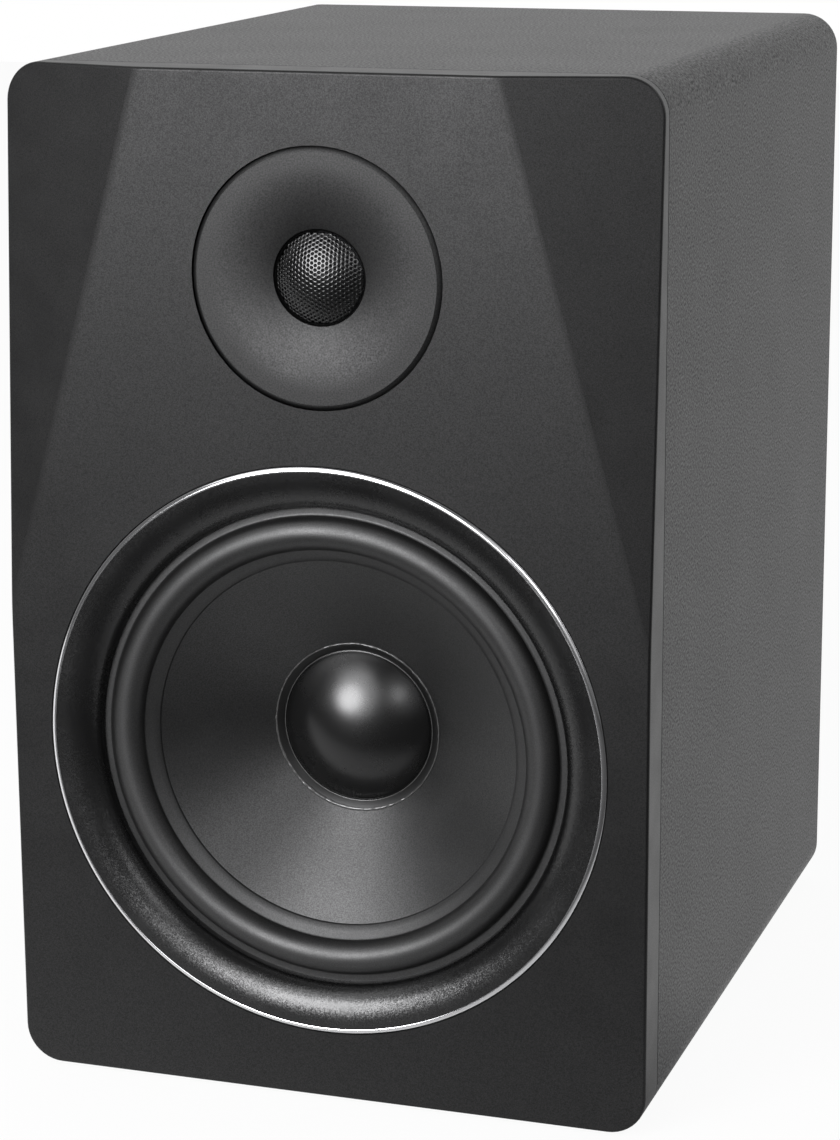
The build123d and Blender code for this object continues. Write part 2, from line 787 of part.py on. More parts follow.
# Tweeter waveguide: a disc with a rounded edge, flared to a throat, and four blind bosses behind it
flare_drop = flare_radius - sqrt(flare_radius**2 - (waveguide_face_radius - flare_end) ** 2)
flare_angle = (waveguide_face_radius - flare_end) / flare_radius
throat_radius = flare_end - throat_flare_radius * (sin(radians(throat_slope)) - flare_angle)
throat_depth = flare_drop + throat_flare_radius * (
    sqrt(1 - flare_angle**2) - cos(radians(throat_slope))
)
boss_end = baffle_thickness - boss_clearance
with BuildPart() as tweeter_waveguide:
    with BuildSketch(tweeter_section):
        with BuildLine():
            TangentArc(
                (waveguide_face_radius, 0), (waveguide_radius, waveguide_edge_drop), tangent=(1, 0)
            )
            Polyline(
                (waveguide_radius, waveguide_edge_drop),
                (waveguide_radius, waveguide_flange),
                (waveguide_spigot_radius, waveguide_flange),
                (waveguide_spigot_radius, waveguide_back),
                (throat_radius, waveguide_back),
                (throat_radius, throat_depth),
            )
            flare = TangentArc((waveguide_face_radius, 0), (flare_end, flare_drop), tangent=(-1, 0))
            TangentArc(flare @ 1, (throat_radius, throat_depth), tangent=flare % 1)
        make_face()
    revolve(axis=tweeter_axis)
    with BuildSketch(tweeter_face.offset(-waveguide_flange)):
        with PolarLocations(tweeter_boss_circle, tweeter_boss_count, tweeter_boss_angle):
            Circle(tweeter_boss_radius)
            Circle(boss_hole_radius, mode=Mode.SUBTRACT)
    extrude(amount=-(boss_end - waveguide_flange))
save(tweeter_waveguide, "tweeter_waveguide")

# Tweeter grille: a dome of thin steel with a short skirt in the throat
skirt_end = waveguide_back - skirt_gap
grille_base = throat_depth + grille_seat
grille_sphere = sphere_over(grille_radius, grille_base - grille_apex_depth)
grille_centre = grille_apex_depth + grille_sphere
grille_middle = grille_radius / 2
grille_inner = grille_radius - grille_thickness
grille_inner_sphere = grille_sphere - grille_thickness
with BuildPart() as tweeter_grille:
    with BuildSketch(tweeter_section):
        with BuildLine():
            ThreePointArc(
                (0, grille_apex_depth),
                (grille_middle, dome_depth(grille_middle, grille_centre, grille_sphere)),
                (grille_radius, grille_base),
            )
            Polyline(
                (grille_radius, grille_base),
                (grille_radius, skirt_end),
                (grille_inner, skirt_end),
                (grille_inner, dome_depth(grille_inner, grille_centre, grille_inner_sphere)),
            )
            ThreePointArc(
                (grille_inner, dome_depth(grille_inner, grille_centre, grille_inner_sphere)),
                (grille_middle, dome_depth(grille_middle, grille_centre, grille_inner_sphere)),
                (0, grille_apex_depth + grille_thickness),
            )
            Line((0, grille_apex_depth + grille_thickness), (0, grille_apex_depth))
        make_face()
    revolve(axis=tweeter_axis)
save(tweeter_grille, "tweeter_grille")

# Gasket behind the waveguide's flange
with BuildPart() as tweeter_gasket:
    with BuildSketch(tweeter_face.offset(-waveguide_flange)):
        Circle(waveguide_radius)
        Circle(tweeter_hole_radius, mode=Mode.SUBTRACT)
        with PolarLocations(tweeter_boss_circle, tweeter_boss_count, tweeter_boss_angle):
            Circle(tweeter_boss_radius + boss_clearance, mode=Mode.SUBTRACT)
    extrude(amount=-tweeter_gasket_thickness)
save(tweeter_gasket, "tweeter_gasket")

# Screws driven from inside the cabinet into the waveguide's bosses
with BuildPart() as tweeter_screws:
    with BuildSketch(tweeter_face.offset(-baffle_thickness)):
        with PolarLocations(tweeter_boss_circle, tweeter_boss_count, tweeter_boss_angle):
            Circle(tweeter_screw_head)
    extrude(amount=-tweeter_head_height)
    with BuildSketch(tweeter_face.offset(-(waveguide_flange + boss_floor))):
        with PolarLocations(tweeter_boss_circle, tweeter_boss_count, tweeter_boss_angle):
            Circle(tweeter_screw_radius)
    extrude(amount=-(baffle_thickness - waveguide_flange - boss_floor))
save(tweeter_screws, "tweeter_screws")

# Tweeter diaphragm: silk dome, its half-roll suspension and the voice coil
dome_base_depth = waveguide_back + dome_seat
dome_sphere = sphere_over(dome_radius, dome_base_depth - dome_apex_depth)
dome_centre = dome_apex_depth + dome_sphere
dome_middle = dome_radius / 2
dome_inner_sphere = dome_sphere - dome_thickness
dome_inner = sqrt(dome_inner_sphere**2 - (dome_centre - dome_base_depth) ** 2)
with BuildPart() as tweeter_dome:
    with BuildSketch(tweeter_section):
        with BuildLine():
            ThreePointArc(
                (0, dome_apex_depth),
                (dome_middle, dome_depth(dome_middle, dome_centre, dome_sphere)),
                (dome_radius, dome_base_depth),
            )
            Line((dome_radius, dome_base_depth), (dome_inner, dome_base_depth))
            ThreePointArc(
                (dome_inner, dome_base_depth),
                (dome_middle, dome_depth(dome_middle, dome_centre, dome_inner_sphere)),
                (0, dome_apex_depth + dome_thickness),
            )
            Line((0, dome_apex_depth + dome_thickness), (0, dome_apex_depth))
        make_face()
    revolve(axis=tweeter_axis)
save(tweeter_dome, "tweeter_dome")

tweeter_roll_centre = dome_radius + tweeter_coil_half + tweeter_roll_radius
suspension_back = waveguide_back + suspension_thickness
suspension_flange = tweeter_roll_centre + tweeter_roll_radius - suspension_thickness
with BuildPart() as tweeter_suspension:
    with BuildSketch(tweeter_section):
        with Locations((tweeter_roll_centre, suspension_back)):
            Circle(tweeter_roll_radius)
            Circle(tweeter_roll_radius - suspension_thickness, mode=Mode.SUBTRACT)
        with Locations((tweeter_roll_centre, suspension_back + tweeter_roll_radius)):
            Rectangle(3 * tweeter_roll_radius, 2 * tweeter_roll_radius, mode=Mode.SUBTRACT)
        with Locations((suspension_flange, waveguide_back)):
            Rectangle(suspension_outer - suspension_flange, suspension_thickness, align=Align.MIN)
    revolve(axis=tweeter_axis)
save(tweeter_suspension, "tweeter_suspension")

with BuildPart() as tweeter_voice_coil:
    with BuildSketch(tweeter_face.offset(-dome_base_depth)):
        Circle(dome_radius + tweeter_coil_half)
        Circle(dome_radius - tweeter_coil_half, mode=Mode.SUBTRACT)
    extrude(amount=-tweeter_coil_length)
save(tweeter_voice_coil, "tweeter_voice_coil")

# Tweeter motor: top plate, ferrite ring, back plate with its pole, and the damped chamber behind
tweeter_magnet_depth = suspension_back + tweeter_plate
tweeter_back_depth = tweeter_magnet_depth + tweeter_magnet_thickness
chamber_depth = tweeter_back_depth + tweeter_plate
tweeter_pole_depth = suspension_back + tweeter_pole_drop
with BuildPart() as tweeter_top_plate:
    with BuildSketch(tweeter_face.offset(-suspension_back)):
        Circle(tweeter_plate_radius)
        Circle(dome_radius + tweeter_gap, mode=Mode.SUBTRACT)
    extrude(amount=-tweeter_plate)
save(tweeter_top_plate, "tweeter_top_plate")

with BuildPart() as tweeter_magnet:
    with BuildSketch(tweeter_face.offset(-tweeter_magnet_depth)):
        Circle(tweeter_plate_radius)
        Circle(tweeter_magnet_bore, mode=Mode.SUBTRACT)
    extrude(amount=-tweeter_magnet_thickness)
save(tweeter_magnet, "tweeter_magnet")

with BuildPart() as tweeter_pole_piece:
    with BuildSketch(tweeter_face.offset(-tweeter_back_depth)):
        Circle(tweeter_plate_radius)
    extrude(amount=-tweeter_plate)
    with BuildSketch(tweeter_face.offset(-tweeter_pole_depth)):
        Circle(dome_radius - tweeter_gap)
    extrude(amount=-(tweeter_back_depth - tweeter_pole_depth))
    with BuildSketch(tweeter_face.offset(-tweeter_pole_depth)):
        Circle(tweeter_vent_radius)
    extrude(amount=-(chamber_depth - tweeter_pole_depth), mode=Mode.SUBTRACT)
save(tweeter_pole_piece, "tweeter_pole_piece")

with BuildPart() as tweeter_rear_chamber:
    with BuildSketch(tweeter_face.offset(-chamber_depth)):
        Circle(chamber_radius)
    extrude(amount=-chamber_length)
    fillet(tweeter_rear_chamber.edges().sort_by(Axis.Y)[-1], chamber_fillet)
    with BuildSketch(tweeter_face.offset(-chamber_depth)):
        Circle(chamber_radius - chamber_wall)
    extrude(amount=-(chamber_length - chamber_wall), mode=Mode.SUBTRACT)
save(tweeter_rear_chamber, "tweeter_rear_chamber")

with BuildPart() as tweeter_terminals:
    with BuildSketch(tweeter_face.offset(-chamber_depth)):
        with Locations((-tweeter_tab_x, -tweeter_tab_drop), (tweeter_tab_x, -tweeter_tab_drop)):
            Rectangle(tweeter_tab_width, tweeter_tab_thickness)
    extrude(amount=-tweeter_tab_length)
save(tweeter_terminals, "tweeter_terminals")

# Reflex port: a flared mouth on a flange, and a straight tube into the cabinet
tube_start = port_flare_radius - rear_flange
tube_outer = port_radius + port_wall
mouth_radius = port_radius + port_flare_radius
with BuildPart() as port_tube:
    with BuildSketch(port_section):
        with BuildLine():
            TangentArc((port_radius, -tube_start), (mouth_radius, rear_flange), tangent=(0, 1))
            Polyline(
                (mouth_radius, rear_flange),
                (port_flange_radius - port_chamfer, rear_flange),
                (port_flange_radius, rear_flange - port_chamfer),
                (port_flange_radius, 0),
                (port_neck_radius, 0),
                (port_neck_radius, -port_neck_length),
                (tube_outer, -port_neck_length - port_neck_radius + tube_outer),
                (tube_outer, -port_length),
                (port_radius, -port_length),
                (port_radius, -tube_start),
            )
        make_face()
    revolve(axis=port_axis)
save(port_tube, "port_tube")

# Terminal cup: a tray let into the rear panel, with a flange outside and two collars on its floor
cup_floor = cup_depth - rear_flange
with BuildPart() as terminal_cup:
    with BuildSketch(cup_face):
        RectangleRounded(cup_flange_width, cup_flange_height, cup_flange_corner)
    extrude(amount=rear_flange)
    chamfer(terminal_cup.faces().sort_by(Axis.Y)[-1].edges(), cup_chamfer)
    with BuildSketch(cup_face):
        RectangleRounded(cup_body_width, cup_body_height, cup_corner)
    extrude(amount=-(cup_floor + cup_wall))
    with BuildSketch(cup_face.offset(rear_flange)):
        RectangleRounded(cup_pocket_width, cup_pocket_height, cup_corner - cup_wall)
    extrude(amount=-cup_depth, mode=Mode.SUBTRACT)
    with BuildSketch(cup_face.offset(-cup_floor)):
        with GridLocations(post_spacing, 0, 2, 1):
            Circle(collar_radius)
    extrude(amount=collar_height)
    with BuildSketch(cup_face.offset(-cup_floor + collar_height)):
        with GridLocations(post_spacing, 0, 2, 1):
            Circle(post_radius + thread_clearance)
    extrude(amount=-(collar_height + cup_wall), mode=Mode.SUBTRACT)
    with Locations(cup_face.offset(rear_flange)):
        with GridLocations(*cup_screw_spacing, 2, 2):
            CounterSinkHole(cup_hole_radius, cup_sink_radius, depth=rear_flange)
save(terminal_cup, "terminal_cup")

head_down = (Align.CENTER, Align.CENTER, Align.MAX)
with BuildPart() as terminal_cup_screws:
    with Locations(cup_face.offset(rear_flange)):
        with GridLocations(*cup_screw_spacing, 2, 2):
            Cylinder(cup_screw_radius, cup_screw_length, align=head_down)
            Cone(cup_screw_radius, cup_head_radius, cup_head_height, align=head_down)
            Box(cross_length, cross_width, cross_depth, align=head_down, mode=Mode.SUBTRACT)
            Box(cross_width, cross_length, cross_depth, align=head_down, mode=Mode.SUBTRACT)
save(terminal_cup_screws, "terminal_cup_screws")

# Binding posts: hollow threaded post, clamp washer and fluted thumb nut, one set in red and one in black
post_sides = {"red": 1, "black": -1}
washer_base = -cup_floor + collar_height
nut_base = washer_base + washer_thickness
for colour, side in post_sides.items():
    post_plane = cup_face.offset(-cup_floor)
    post_x = side * post_spacing / 2
    with BuildPart() as binding_post:
        with BuildSketch(post_plane.offset(-post_tail)):
            with Locations((post_x, 0)):
                Circle(post_radius)
        extrude(amount=post_tail + post_length)
        with BuildSketch(post_plane.offset(post_length)):
            with Locations((post_x, 0)):
                Circle(socket_radius)
        extrude(amount=-socket_depth, mode=Mode.SUBTRACT)
    save(binding_post, f"binding_post_{colour}")

    with BuildPart() as clamp_washer:
        with BuildSketch(cup_face.offset(washer_base)):
            with Locations((post_x, 0)):
                Circle(washer_radius)
                Circle(post_radius + thread_clearance, mode=Mode.SUBTRACT)
        extrude(amount=washer_thickness)
    save(clamp_washer, f"clamp_washer_{colour}")

    with BuildPart() as thumb_nut:
        with BuildSketch(cup_face.offset(nut_base)):
            with Locations((post_x, 0)):
                Circle(nut_radius)
                Circle(post_radius + thread_clearance, mode=Mode.SUBTRACT)
                with PolarLocations(nut_radius + flute_offset, nut_flutes):
                    Circle(flute_radius, mode=Mode.SUBTRACT)
        extrude(amount=nut_length - nut_end_length)
        with BuildSketch(cup_face.offset(nut_base + nut_length - nut_end_length)):
            with Locations((post_x, 0)):
                Circle(nut_radius - nut_end_step)
                Circle(post_radius + thread_clearance, mode=Mode.SUBTRACT)
        extrude(amount=nut_end_length)
        end_rim = thumb_nut.edges().filter_by(GeomType.CIRCLE).sort_by(Axis.Y)[-2:]
        chamfer(end_rim.sort_by(Edge.length)[-1], nut_chamfer)
    save(thumb_nut, f"thumb_nut_{colour}")

with BuildPart() as post_back_nuts:
    with BuildSketch(cup_face.offset(-cup_floor - cup_wall)):
        with GridLocations(post_spacing, 0, 2, 1):
            RegularPolygon(back_nut_flat, 6, major_radius=False)
            Circle(post_radius + thread_clearance, mode=Mode.SUBTRACT)
    extrude(amount=-back_nut_height)
save(post_back_nuts, "post_back_nuts")

# Crossover board on spacers on the cabinet floor
board_plane = Plane(origin=(0, front_y + board_front + board_depth / 2, floor_z + wrap_thickness))
board_top = board_plane.offset(board_lift + board_thickness)
board_holes = (board_width - 2 * board_hole_inset, board_depth - 2 * board_hole_inset)
with BuildPart() as crossover_board:
    with BuildSketch(board_plane.offset(board_lift)):
        Rectangle(board_width, board_depth)
        with GridLocations(*board_holes, 2, 2):
            Circle(board_hole_radius, mode=Mode.SUBTRACT)
    extrude(amount=board_thickness)
save(crossover_board, "crossover_board")

with BuildPart() as board_spacers:
    with BuildSketch(board_plane):
        with GridLocations(*board_holes, 2, 2):
            Circle(spacer_radius)
            Circle(board_hole_radius, mode=Mode.SUBTRACT)
    extrude(amount=board_lift)
save(board_spacers, "board_spacers")

with BuildPart() as board_screws:
    with BuildSketch(board_top):
        with GridLocations(*board_holes, 2, 2):
            Circle(board_head_radius)
    extrude(amount=board_head_height)
    with BuildSketch(board_plane):
        with GridLocations(*board_holes, 2, 2):
            Circle(board_screw_radius)
    extrude(amount=board_lift + board_thickness)
save(board_screws, "board_screws")

# Air-core coils on bobbins: place on the board, winding radius and height
coil_sizes = {"woofer_inductor": (-42, 12, 21.0, 24.0), "tweeter_inductor": (44, -18, 15.0, 16.0)}
for coil_name, (coil_x, coil_y, coil_radius, coil_height) in coil_sizes.items():
    with BuildPart() as coil:
        with BuildSketch(board_top):
            with Locations((coil_x, coil_y)):
                Circle(coil_radius + bobbin_lip)
        extrude(amount=bobbin_flange)
        with BuildSketch(board_top.offset(bobbin_flange)):
            with Locations((coil_x, coil_y)):
                Circle(coil_radius)
        extrude(amount=coil_height - 2 * bobbin_flange)
        with BuildSketch(board_top.offset(coil_height - bobbin_flange)):
            with Locations((coil_x, coil_y)):
                Circle(coil_radius + bobbin_lip)
        extrude(amount=bobbin_flange)
        with BuildSketch(board_top):
            with Locations((coil_x, coil_y)):
                Circle(coil_radius * bobbin_bore_share)
        extrude(amount=coil_height, mode=Mode.SUBTRACT)
    save(coil, coil_name)

# Film capacitors lying along X: place on the board, radius and length
capacitor_sizes = {"woofer_capacitor": (6, 26, 11.0, 40.0), "tweeter_capacitor": (6, -8, 8.0, 34.0)}
for can_name, (can_x, can_y, can_radius, can_length) in capacitor_sizes.items():
    with BuildPart() as can:
        can_origin = board_top.from_local_coords((can_x - can_length / 2, can_y, can_radius))
        with BuildSketch(Plane(origin=can_origin, z_dir=(1, 0, 0))):
            Circle(can_radius)
        extrude(amount=can_length)
        chamfer(can.edges().filter_by(GeomType.CIRCLE), can_chamfer)
    save(can, can_name)

with BuildPart() as padding_resistor:
    with BuildSketch(board_top):
        with Locations((resistor_x, resistor_y)):
            Rectangle(resistor_length, resistor_side)
    extrude(amount=resistor_side)
save(padding_resistor, "padding_resistor")

# Wire pairs inside the cabinet, as half-spacing in X, depth behind the front, and height
board_height = floor_z + wrap_thickness + board_lift + board_thickness
post_tail_depth = cabinet_depth - cup_floor - post_tail
tweeter_tab_z = tweeter_z - tweeter_tab_drop
wire_routes = {
    "input_wires": [
        (post_spacing / 2, post_tail_depth, cup_z),
        (post_spacing / 2, 262, cup_z),
        (post_spacing / 2, 262, 75),
        (post_spacing / 2, 238, 55),
        (post_spacing / 2, 238, board_height),
    ],
    "woofer_wires": [
        (tab_x, strip_depth + strip_thickness, woofer_z - strip_drop),
        (tab_x, 118, woofer_z - strip_drop),
        (tab_x, 151, 62),
        (tab_x, 151, board_height),
    ],
    "tweeter_wires": [
        (tweeter_tab_x, chamber_depth + tweeter_tab_length, tweeter_tab_z),
        (tweeter_tab_x, 118, tweeter_tab_z),
        (24, 118, 150),
        (24, 165, 72),
        (24, 165, board_height),
    ],
}
for wire_name, route in wire_routes.items():
    with BuildPart() as wires:
        for side in (-1, 1):
            with BuildLine() as run:
                FilletPolyline(
                    *[(side * across, front_y + depth, height) for across, depth, height in route],
                    radius=wire_bend,
                )
            with BuildSketch(Plane(origin=run.line @ 0, z_dir=run.line % 0)):
                Circle(wire_radius)
            sweep(path=run.line)
    save(wires, wire_name)
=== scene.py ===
# %% [markdown]
# # A two-way bookshelf speaker
# The solids of this speaker come out of CAD and stay where they are. This lesson dresses them: it
# sets up a camera and a small studio, gives every part a finish made of nodes, and models anew the
# pieces that CAD draws too plainly, such as the rubber surround and the perforated grille.

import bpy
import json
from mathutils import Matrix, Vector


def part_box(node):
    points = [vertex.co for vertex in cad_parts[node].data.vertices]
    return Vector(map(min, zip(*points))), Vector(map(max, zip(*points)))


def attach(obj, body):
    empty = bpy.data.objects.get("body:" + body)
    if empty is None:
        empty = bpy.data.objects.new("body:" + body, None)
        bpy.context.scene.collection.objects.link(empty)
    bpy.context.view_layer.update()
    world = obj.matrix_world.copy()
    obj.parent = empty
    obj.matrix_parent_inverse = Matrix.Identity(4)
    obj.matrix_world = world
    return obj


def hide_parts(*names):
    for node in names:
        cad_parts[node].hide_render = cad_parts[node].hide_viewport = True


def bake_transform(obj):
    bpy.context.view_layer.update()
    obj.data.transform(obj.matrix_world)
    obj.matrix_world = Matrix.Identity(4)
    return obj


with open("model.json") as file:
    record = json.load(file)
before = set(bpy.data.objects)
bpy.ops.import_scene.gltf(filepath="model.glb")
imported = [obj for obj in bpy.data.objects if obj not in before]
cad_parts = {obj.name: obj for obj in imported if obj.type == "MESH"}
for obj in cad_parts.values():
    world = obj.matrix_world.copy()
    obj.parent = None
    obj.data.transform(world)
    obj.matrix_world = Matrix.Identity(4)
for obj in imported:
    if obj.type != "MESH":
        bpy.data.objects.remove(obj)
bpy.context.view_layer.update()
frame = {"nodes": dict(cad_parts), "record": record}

# %% [markdown]
# ## Landmarks
# On the real speaker everything is centred on the two drivers, and depths are read from the face
# of the baffle. These places could be typed in. They are measured on the solids instead, so that
# every new piece sits where its solid sits.

# %% Tools and landmarks
import json
from itertools import pairwise
from math import asin, cos, pi, radians, sin, sqrt, tan

import bpy
from mathutils import Matrix, Vector
from mathutils.kdtree import KDTree

mm = 0.001
nodes = frame["nodes"]


def middle(node):
    """Centre of a CAD node's box."""
    low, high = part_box(node)
    return (low + high) / 2


front_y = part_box("front_baffle")[0].y
rear_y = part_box("rear_panel")[1].y
woofer_z = middle("woofer_cone").z
tweeter_z = middle("tweeter_waveguide").z
print("front", round(front_y, 5), "woofer", round(woofer_z, 5), "tweeter", round(tweeter_z, 5))

# %% [markdown]
# ## Camera
# The photograph was taken from a little above and to the right with a long lens. The camera stands
# where its perspective puts it, and the lens is given by the focal length in pixels of the
# picture, which is 840 wide and 1140 high.

# %% Camera
picture_height = 1140
focal_pixels = 3226.76
camera_place = Vector((0.41327, -1.26672, 0.50983))
yaw, pitch, roll = radians(18.634), radians(14.015), radians(-0.333)

forward = Vector((-sin(yaw) * cos(pitch), cos(yaw) * cos(pitch), -sin(pitch)))
level = Vector((cos(yaw), sin(yaw), 0))
upright = level.cross(forward)
right = cos(roll) * level + sin(roll) * upright
up = cos(roll) * upright - sin(roll) * level

lens_data = bpy.data.cameras.new("photo_camera")
lens_data.sensor_width = 36
lens_data.lens = focal_pixels / picture_height * lens_data.sensor_width
camera = bpy.data.objects.new("photo_camera", lens_data)
facing_view = Matrix((right, up, -forward)).transposed().to_4x4()
camera.matrix_world = Matrix.Translation(camera_place) @ facing_view
scene = bpy.context.scene
scene.collection.objects.link(camera)
scene.camera = camera
scene.view_settings.view_transform = "Standard"
print("lens", round(lens_data.lens, 2), "mm")

# %% [markdown]
# ## Studio
# Black satin surfaces show the room more than they show their own colour, so the room is the main
# part of the likeness: a white sweep behind and below, a dim room behind the camera, and a few
# soft lamps. The white could come from more light, but that would bleach the speaker. Light Path
# gives it to the rays that look at it, and metal mirrors it where it stands, behind the object.

# %% Node tools
def ranged(tree, value, low, high, start=0.3, stop=0.7):
    """Maps a value between start and stop onto a range. The usual span is the middle of a noise."""
    span = tree.nodes.new("ShaderNodeMapRange")
    span.inputs["From Min"].default_value = start
    span.inputs["From Max"].default_value = stop
    span.inputs["To Min"].default_value = low
    span.inputs["To Max"].default_value = high
    tree.links.new(value, span.inputs["Value"])
    return span.outputs["Result"]


def combined(tree, operation, first, second):
    """Two values joined by a sum of the given kind."""
    sum_node = tree.nodes.new("ShaderNodeMath")
    sum_node.operation = operation
    tree.links.new(first, sum_node.inputs[0])
    tree.links.new(second, sum_node.inputs[1])
    return sum_node.outputs["Value"]


def sees_white(tree, mirror_share):
    """How far a ray sees the white: camera and glass rays wholly, mirrored ones by a share."""
    rays = tree.nodes.new("ShaderNodeLightPath").outputs
    direct = combined(tree, "MAXIMUM", rays["Is Camera Ray"], rays["Is Transmission Ray"])
    mirrored = combined(tree, "MULTIPLY", rays["Is Glossy Ray"], mirror_share)
    return combined(tree, "MAXIMUM", direct, mirrored)


print("node tools ready")

# %% [markdown]
# ## World
# The room round the speaker is dim in front and pale behind. A picture of a real studio could be
# wrapped round the scene, but a tone that follows the direction is enough and needs no file.

# %% World
room_front, room_back = 0.12, 0.76
world = bpy.data.worlds.new("studio_world")
scene.world = world
world.use_nodes = True
sky = world.node_tree
sky.nodes.clear()
sky_out = sky.nodes.new("ShaderNodeOutputWorld")
sweep = sky.nodes.new("ShaderNodeBackground")
sweep.inputs["Color"].default_value = (1, 1, 1, 1)
room = sky.nodes.new("ShaderNodeBackground")
room.inputs["Color"].default_value = (0.99, 0.99, 1, 1)
toward = sky.nodes.new("ShaderNodeTexCoord")
axes = sky.nodes.new("ShaderNodeSeparateXYZ")
sky.links.new(toward.outputs["Generated"], axes.inputs["Vector"])
backward = axes.outputs["Y"]
room_tone = ranged(sky, backward, room_front, room_back, start=-0.15, stop=0.25)
sky.links.new(room_tone, room.inputs["Strength"])
white_behind = ranged(sky, backward, 0, 1, start=0.1, stop=0.9)
seen_mix = sky.nodes.new("ShaderNodeMixShader")
sky.links.new(sees_white(sky, white_behind), seen_mix.inputs["Fac"])
sky.links.new(room.outputs["Background"], seen_mix.inputs[1])
sky.links.new(sweep.outputs["Background"], seen_mix.inputs[2])
sky.links.new(seen_mix.outputs["Shader"], sky_out.inputs["Surface"])
print("world nodes", len(sky.nodes))

# %% [markdown]
# ## Floor
# The speaker stands on a white sweep that ends a little way in front of it. One large plane is
# enough: its colour is painted darker towards the camera. This is painted shade for the dim front
# of the sweep and for the unlit room beyond its end, and its reflection puts the dark edge into the
# lower front of the speaker.

# %% Floor
floor_size = 8
# Tones of painted shade on the floor: unlit in front, dim near the speaker, pale paper behind.
unlit_tone, dim_near_tone, pale_tone = 0.06, 0.52, 0.9
unlit_from, pale_from = front_y - 0.18, front_y + 0.12
bpy.ops.object.select_all(action="DESELECT")
bpy.ops.mesh.primitive_plane_add(size=floor_size, location=(0, 0, 0))
floor = bpy.context.active_object
floor.name = "floor"
floor_look = bpy.data.materials.new("floor_white")
floor_look.use_nodes = True
floor_tree = floor_look.node_tree
floor_bsdf = floor_tree.nodes["Principled BSDF"]
floor_bsdf.inputs["Roughness"].default_value = 0.8
floor_bsdf.inputs["Specular IOR Level"].default_value = 0.1
floor_place = floor_tree.nodes.new("ShaderNodeTexCoord")
floor_depth = floor_tree.nodes.new("ShaderNodeVectorMath")
floor_depth.operation = "DOT_PRODUCT"
floor_depth.inputs[1].default_value = (-sin(yaw), cos(yaw), 0)
floor_tree.links.new(floor_place.outputs["Object"], floor_depth.inputs[0])
inward = floor_depth.outputs["Value"]
# Painted shade: the floor's colour runs from dark in front, where the room is unlit, through a
# dimmer tone to pale behind.
floor_painted_shade = floor_tree.nodes.new("ShaderNodeValToRGB")
tones = floor_painted_shade.color_ramp.elements
tones[0].color = (unlit_tone, unlit_tone, unlit_tone, 1)
tones[1].color = (pale_tone, pale_tone, pale_tone, 1)
tones.new(0.3).color = (dim_near_tone, dim_near_tone, dim_near_tone, 1)
floor_span = ranged(floor_tree, inward, 0, 1, start=unlit_from, stop=pale_from)
floor_tree.links.new(floor_span, floor_painted_shade.inputs["Fac"])
floor_tree.links.new(floor_painted_shade.outputs["Color"], floor_bsdf.inputs["Base Color"])
print("floor", floor.dimensions[:])

# %% [markdown]
# ## White floor
# A photographer would light the paper until it is white. Here the rays that look at the floor get
# a glow mixed with a little plain paper, and that paper keeps the speaker's shadow.

# %% White floor
glow_share = 0.94
white_from = front_y - 0.05
floor_paper = floor_tree.nodes.new("ShaderNodeBsdfDiffuse")
floor_paper.inputs["Color"].default_value = (pale_tone, pale_tone, pale_tone, 1)
floor_glow = floor_tree.nodes.new("ShaderNodeEmission")
floor_seen = floor_tree.nodes.new("ShaderNodeMixShader")
floor_seen.inputs["Fac"].default_value = glow_share
floor_tree.links.new(floor_paper.outputs["BSDF"], floor_seen.inputs[1])
floor_tree.links.new(floor_glow.outputs["Emission"], floor_seen.inputs[2])
white_under = ranged(floor_tree, inward, 0, 1, start=white_from, stop=pale_from)
floor_mix = floor_tree.nodes.new("ShaderNodeMixShader")
floor_out = floor_tree.nodes["Material Output"]
floor_tree.links.new(sees_white(floor_tree, white_under), floor_mix.inputs["Fac"])
floor_tree.links.new(floor_bsdf.outputs["BSDF"], floor_mix.inputs[1])
floor_tree.links.new(floor_seen.outputs["Shader"], floor_mix.inputs[2])
floor_tree.links.new(floor_mix.outputs["Shader"], floor_out.inputs["Surface"])
floor.data.materials.append(floor_look)
print("floor nodes", len(floor_tree.nodes))

# %% [markdown]
# ## Lamps
# The highlights on the dust cap and the surround tell where the soft lamps stood. A lamp could be
# placed by its coordinates. Here it has a bearing and a height as seen from the speaker, because
# that is how a highlight moves.

# %% Lamps
aim = Vector((0, front_y, 0.2))
lamp_tint = (0.985, 0.985, 1.0)


def softbox(name, bearing, height, distance, width, tall, watts, shape):
    """A soft lamp at a bearing, in degrees to the right of straight ahead of the speaker."""
    lamp = bpy.data.lights.new(name, "AREA")
    lamp.shape = shape
    lamp.size, lamp.size_y = width, tall
    lamp.energy = watts
    lamp.color = lamp_tint
    holder = bpy.data.objects.new(name, lamp)
    across, rise = radians(bearing), radians(height)
    away = Vector((sin(across) * cos(rise), -cos(across) * cos(rise), sin(rise)))
    holder.location = aim + distance * away
    holder.rotation_euler = away.to_track_quat("Z", "Y").to_euler()
    holder.visible_camera = False
    scene.collection.objects.link(holder)
    return holder


lamps = [
    softbox("key_lamp", -20, 17.5, 1.6, 0.76, 0.76, 15.8, "ELLIPSE"),
    softbox("wide_lamp", -15, 22, 1.8, 1.6, 1.6, 17, "ELLIPSE"),
    softbox("spark_lamp", 35, 24, 1.6, 0.45, 0.45, 1.6, "ELLIPSE"),
    softbox("right_lamp", 38, 25, 1.6, 1.2, 1.2, 1.3, "ELLIPSE"),
    softbox("upper_lamp", -36, 46, 1.6, 1.6, 0.7, 3.6, "ELLIPSE"),
    softbox("side_lamp", 100, 32, 1.6, 0.9, 0.9, 3.8, "RECTANGLE"),
]
print("lamps", [lamp.name for lamp in lamps])

# %% [markdown]
# ## Finishes
# No real surface is one flat colour. Each finish starts from a tone and a gloss, and noise that
# reads the part's own coordinates varies both a little and raises a fine grain. Coordinates are in
# metres, so a grain of half a millimetre is a noise of two thousand cells to the metre.

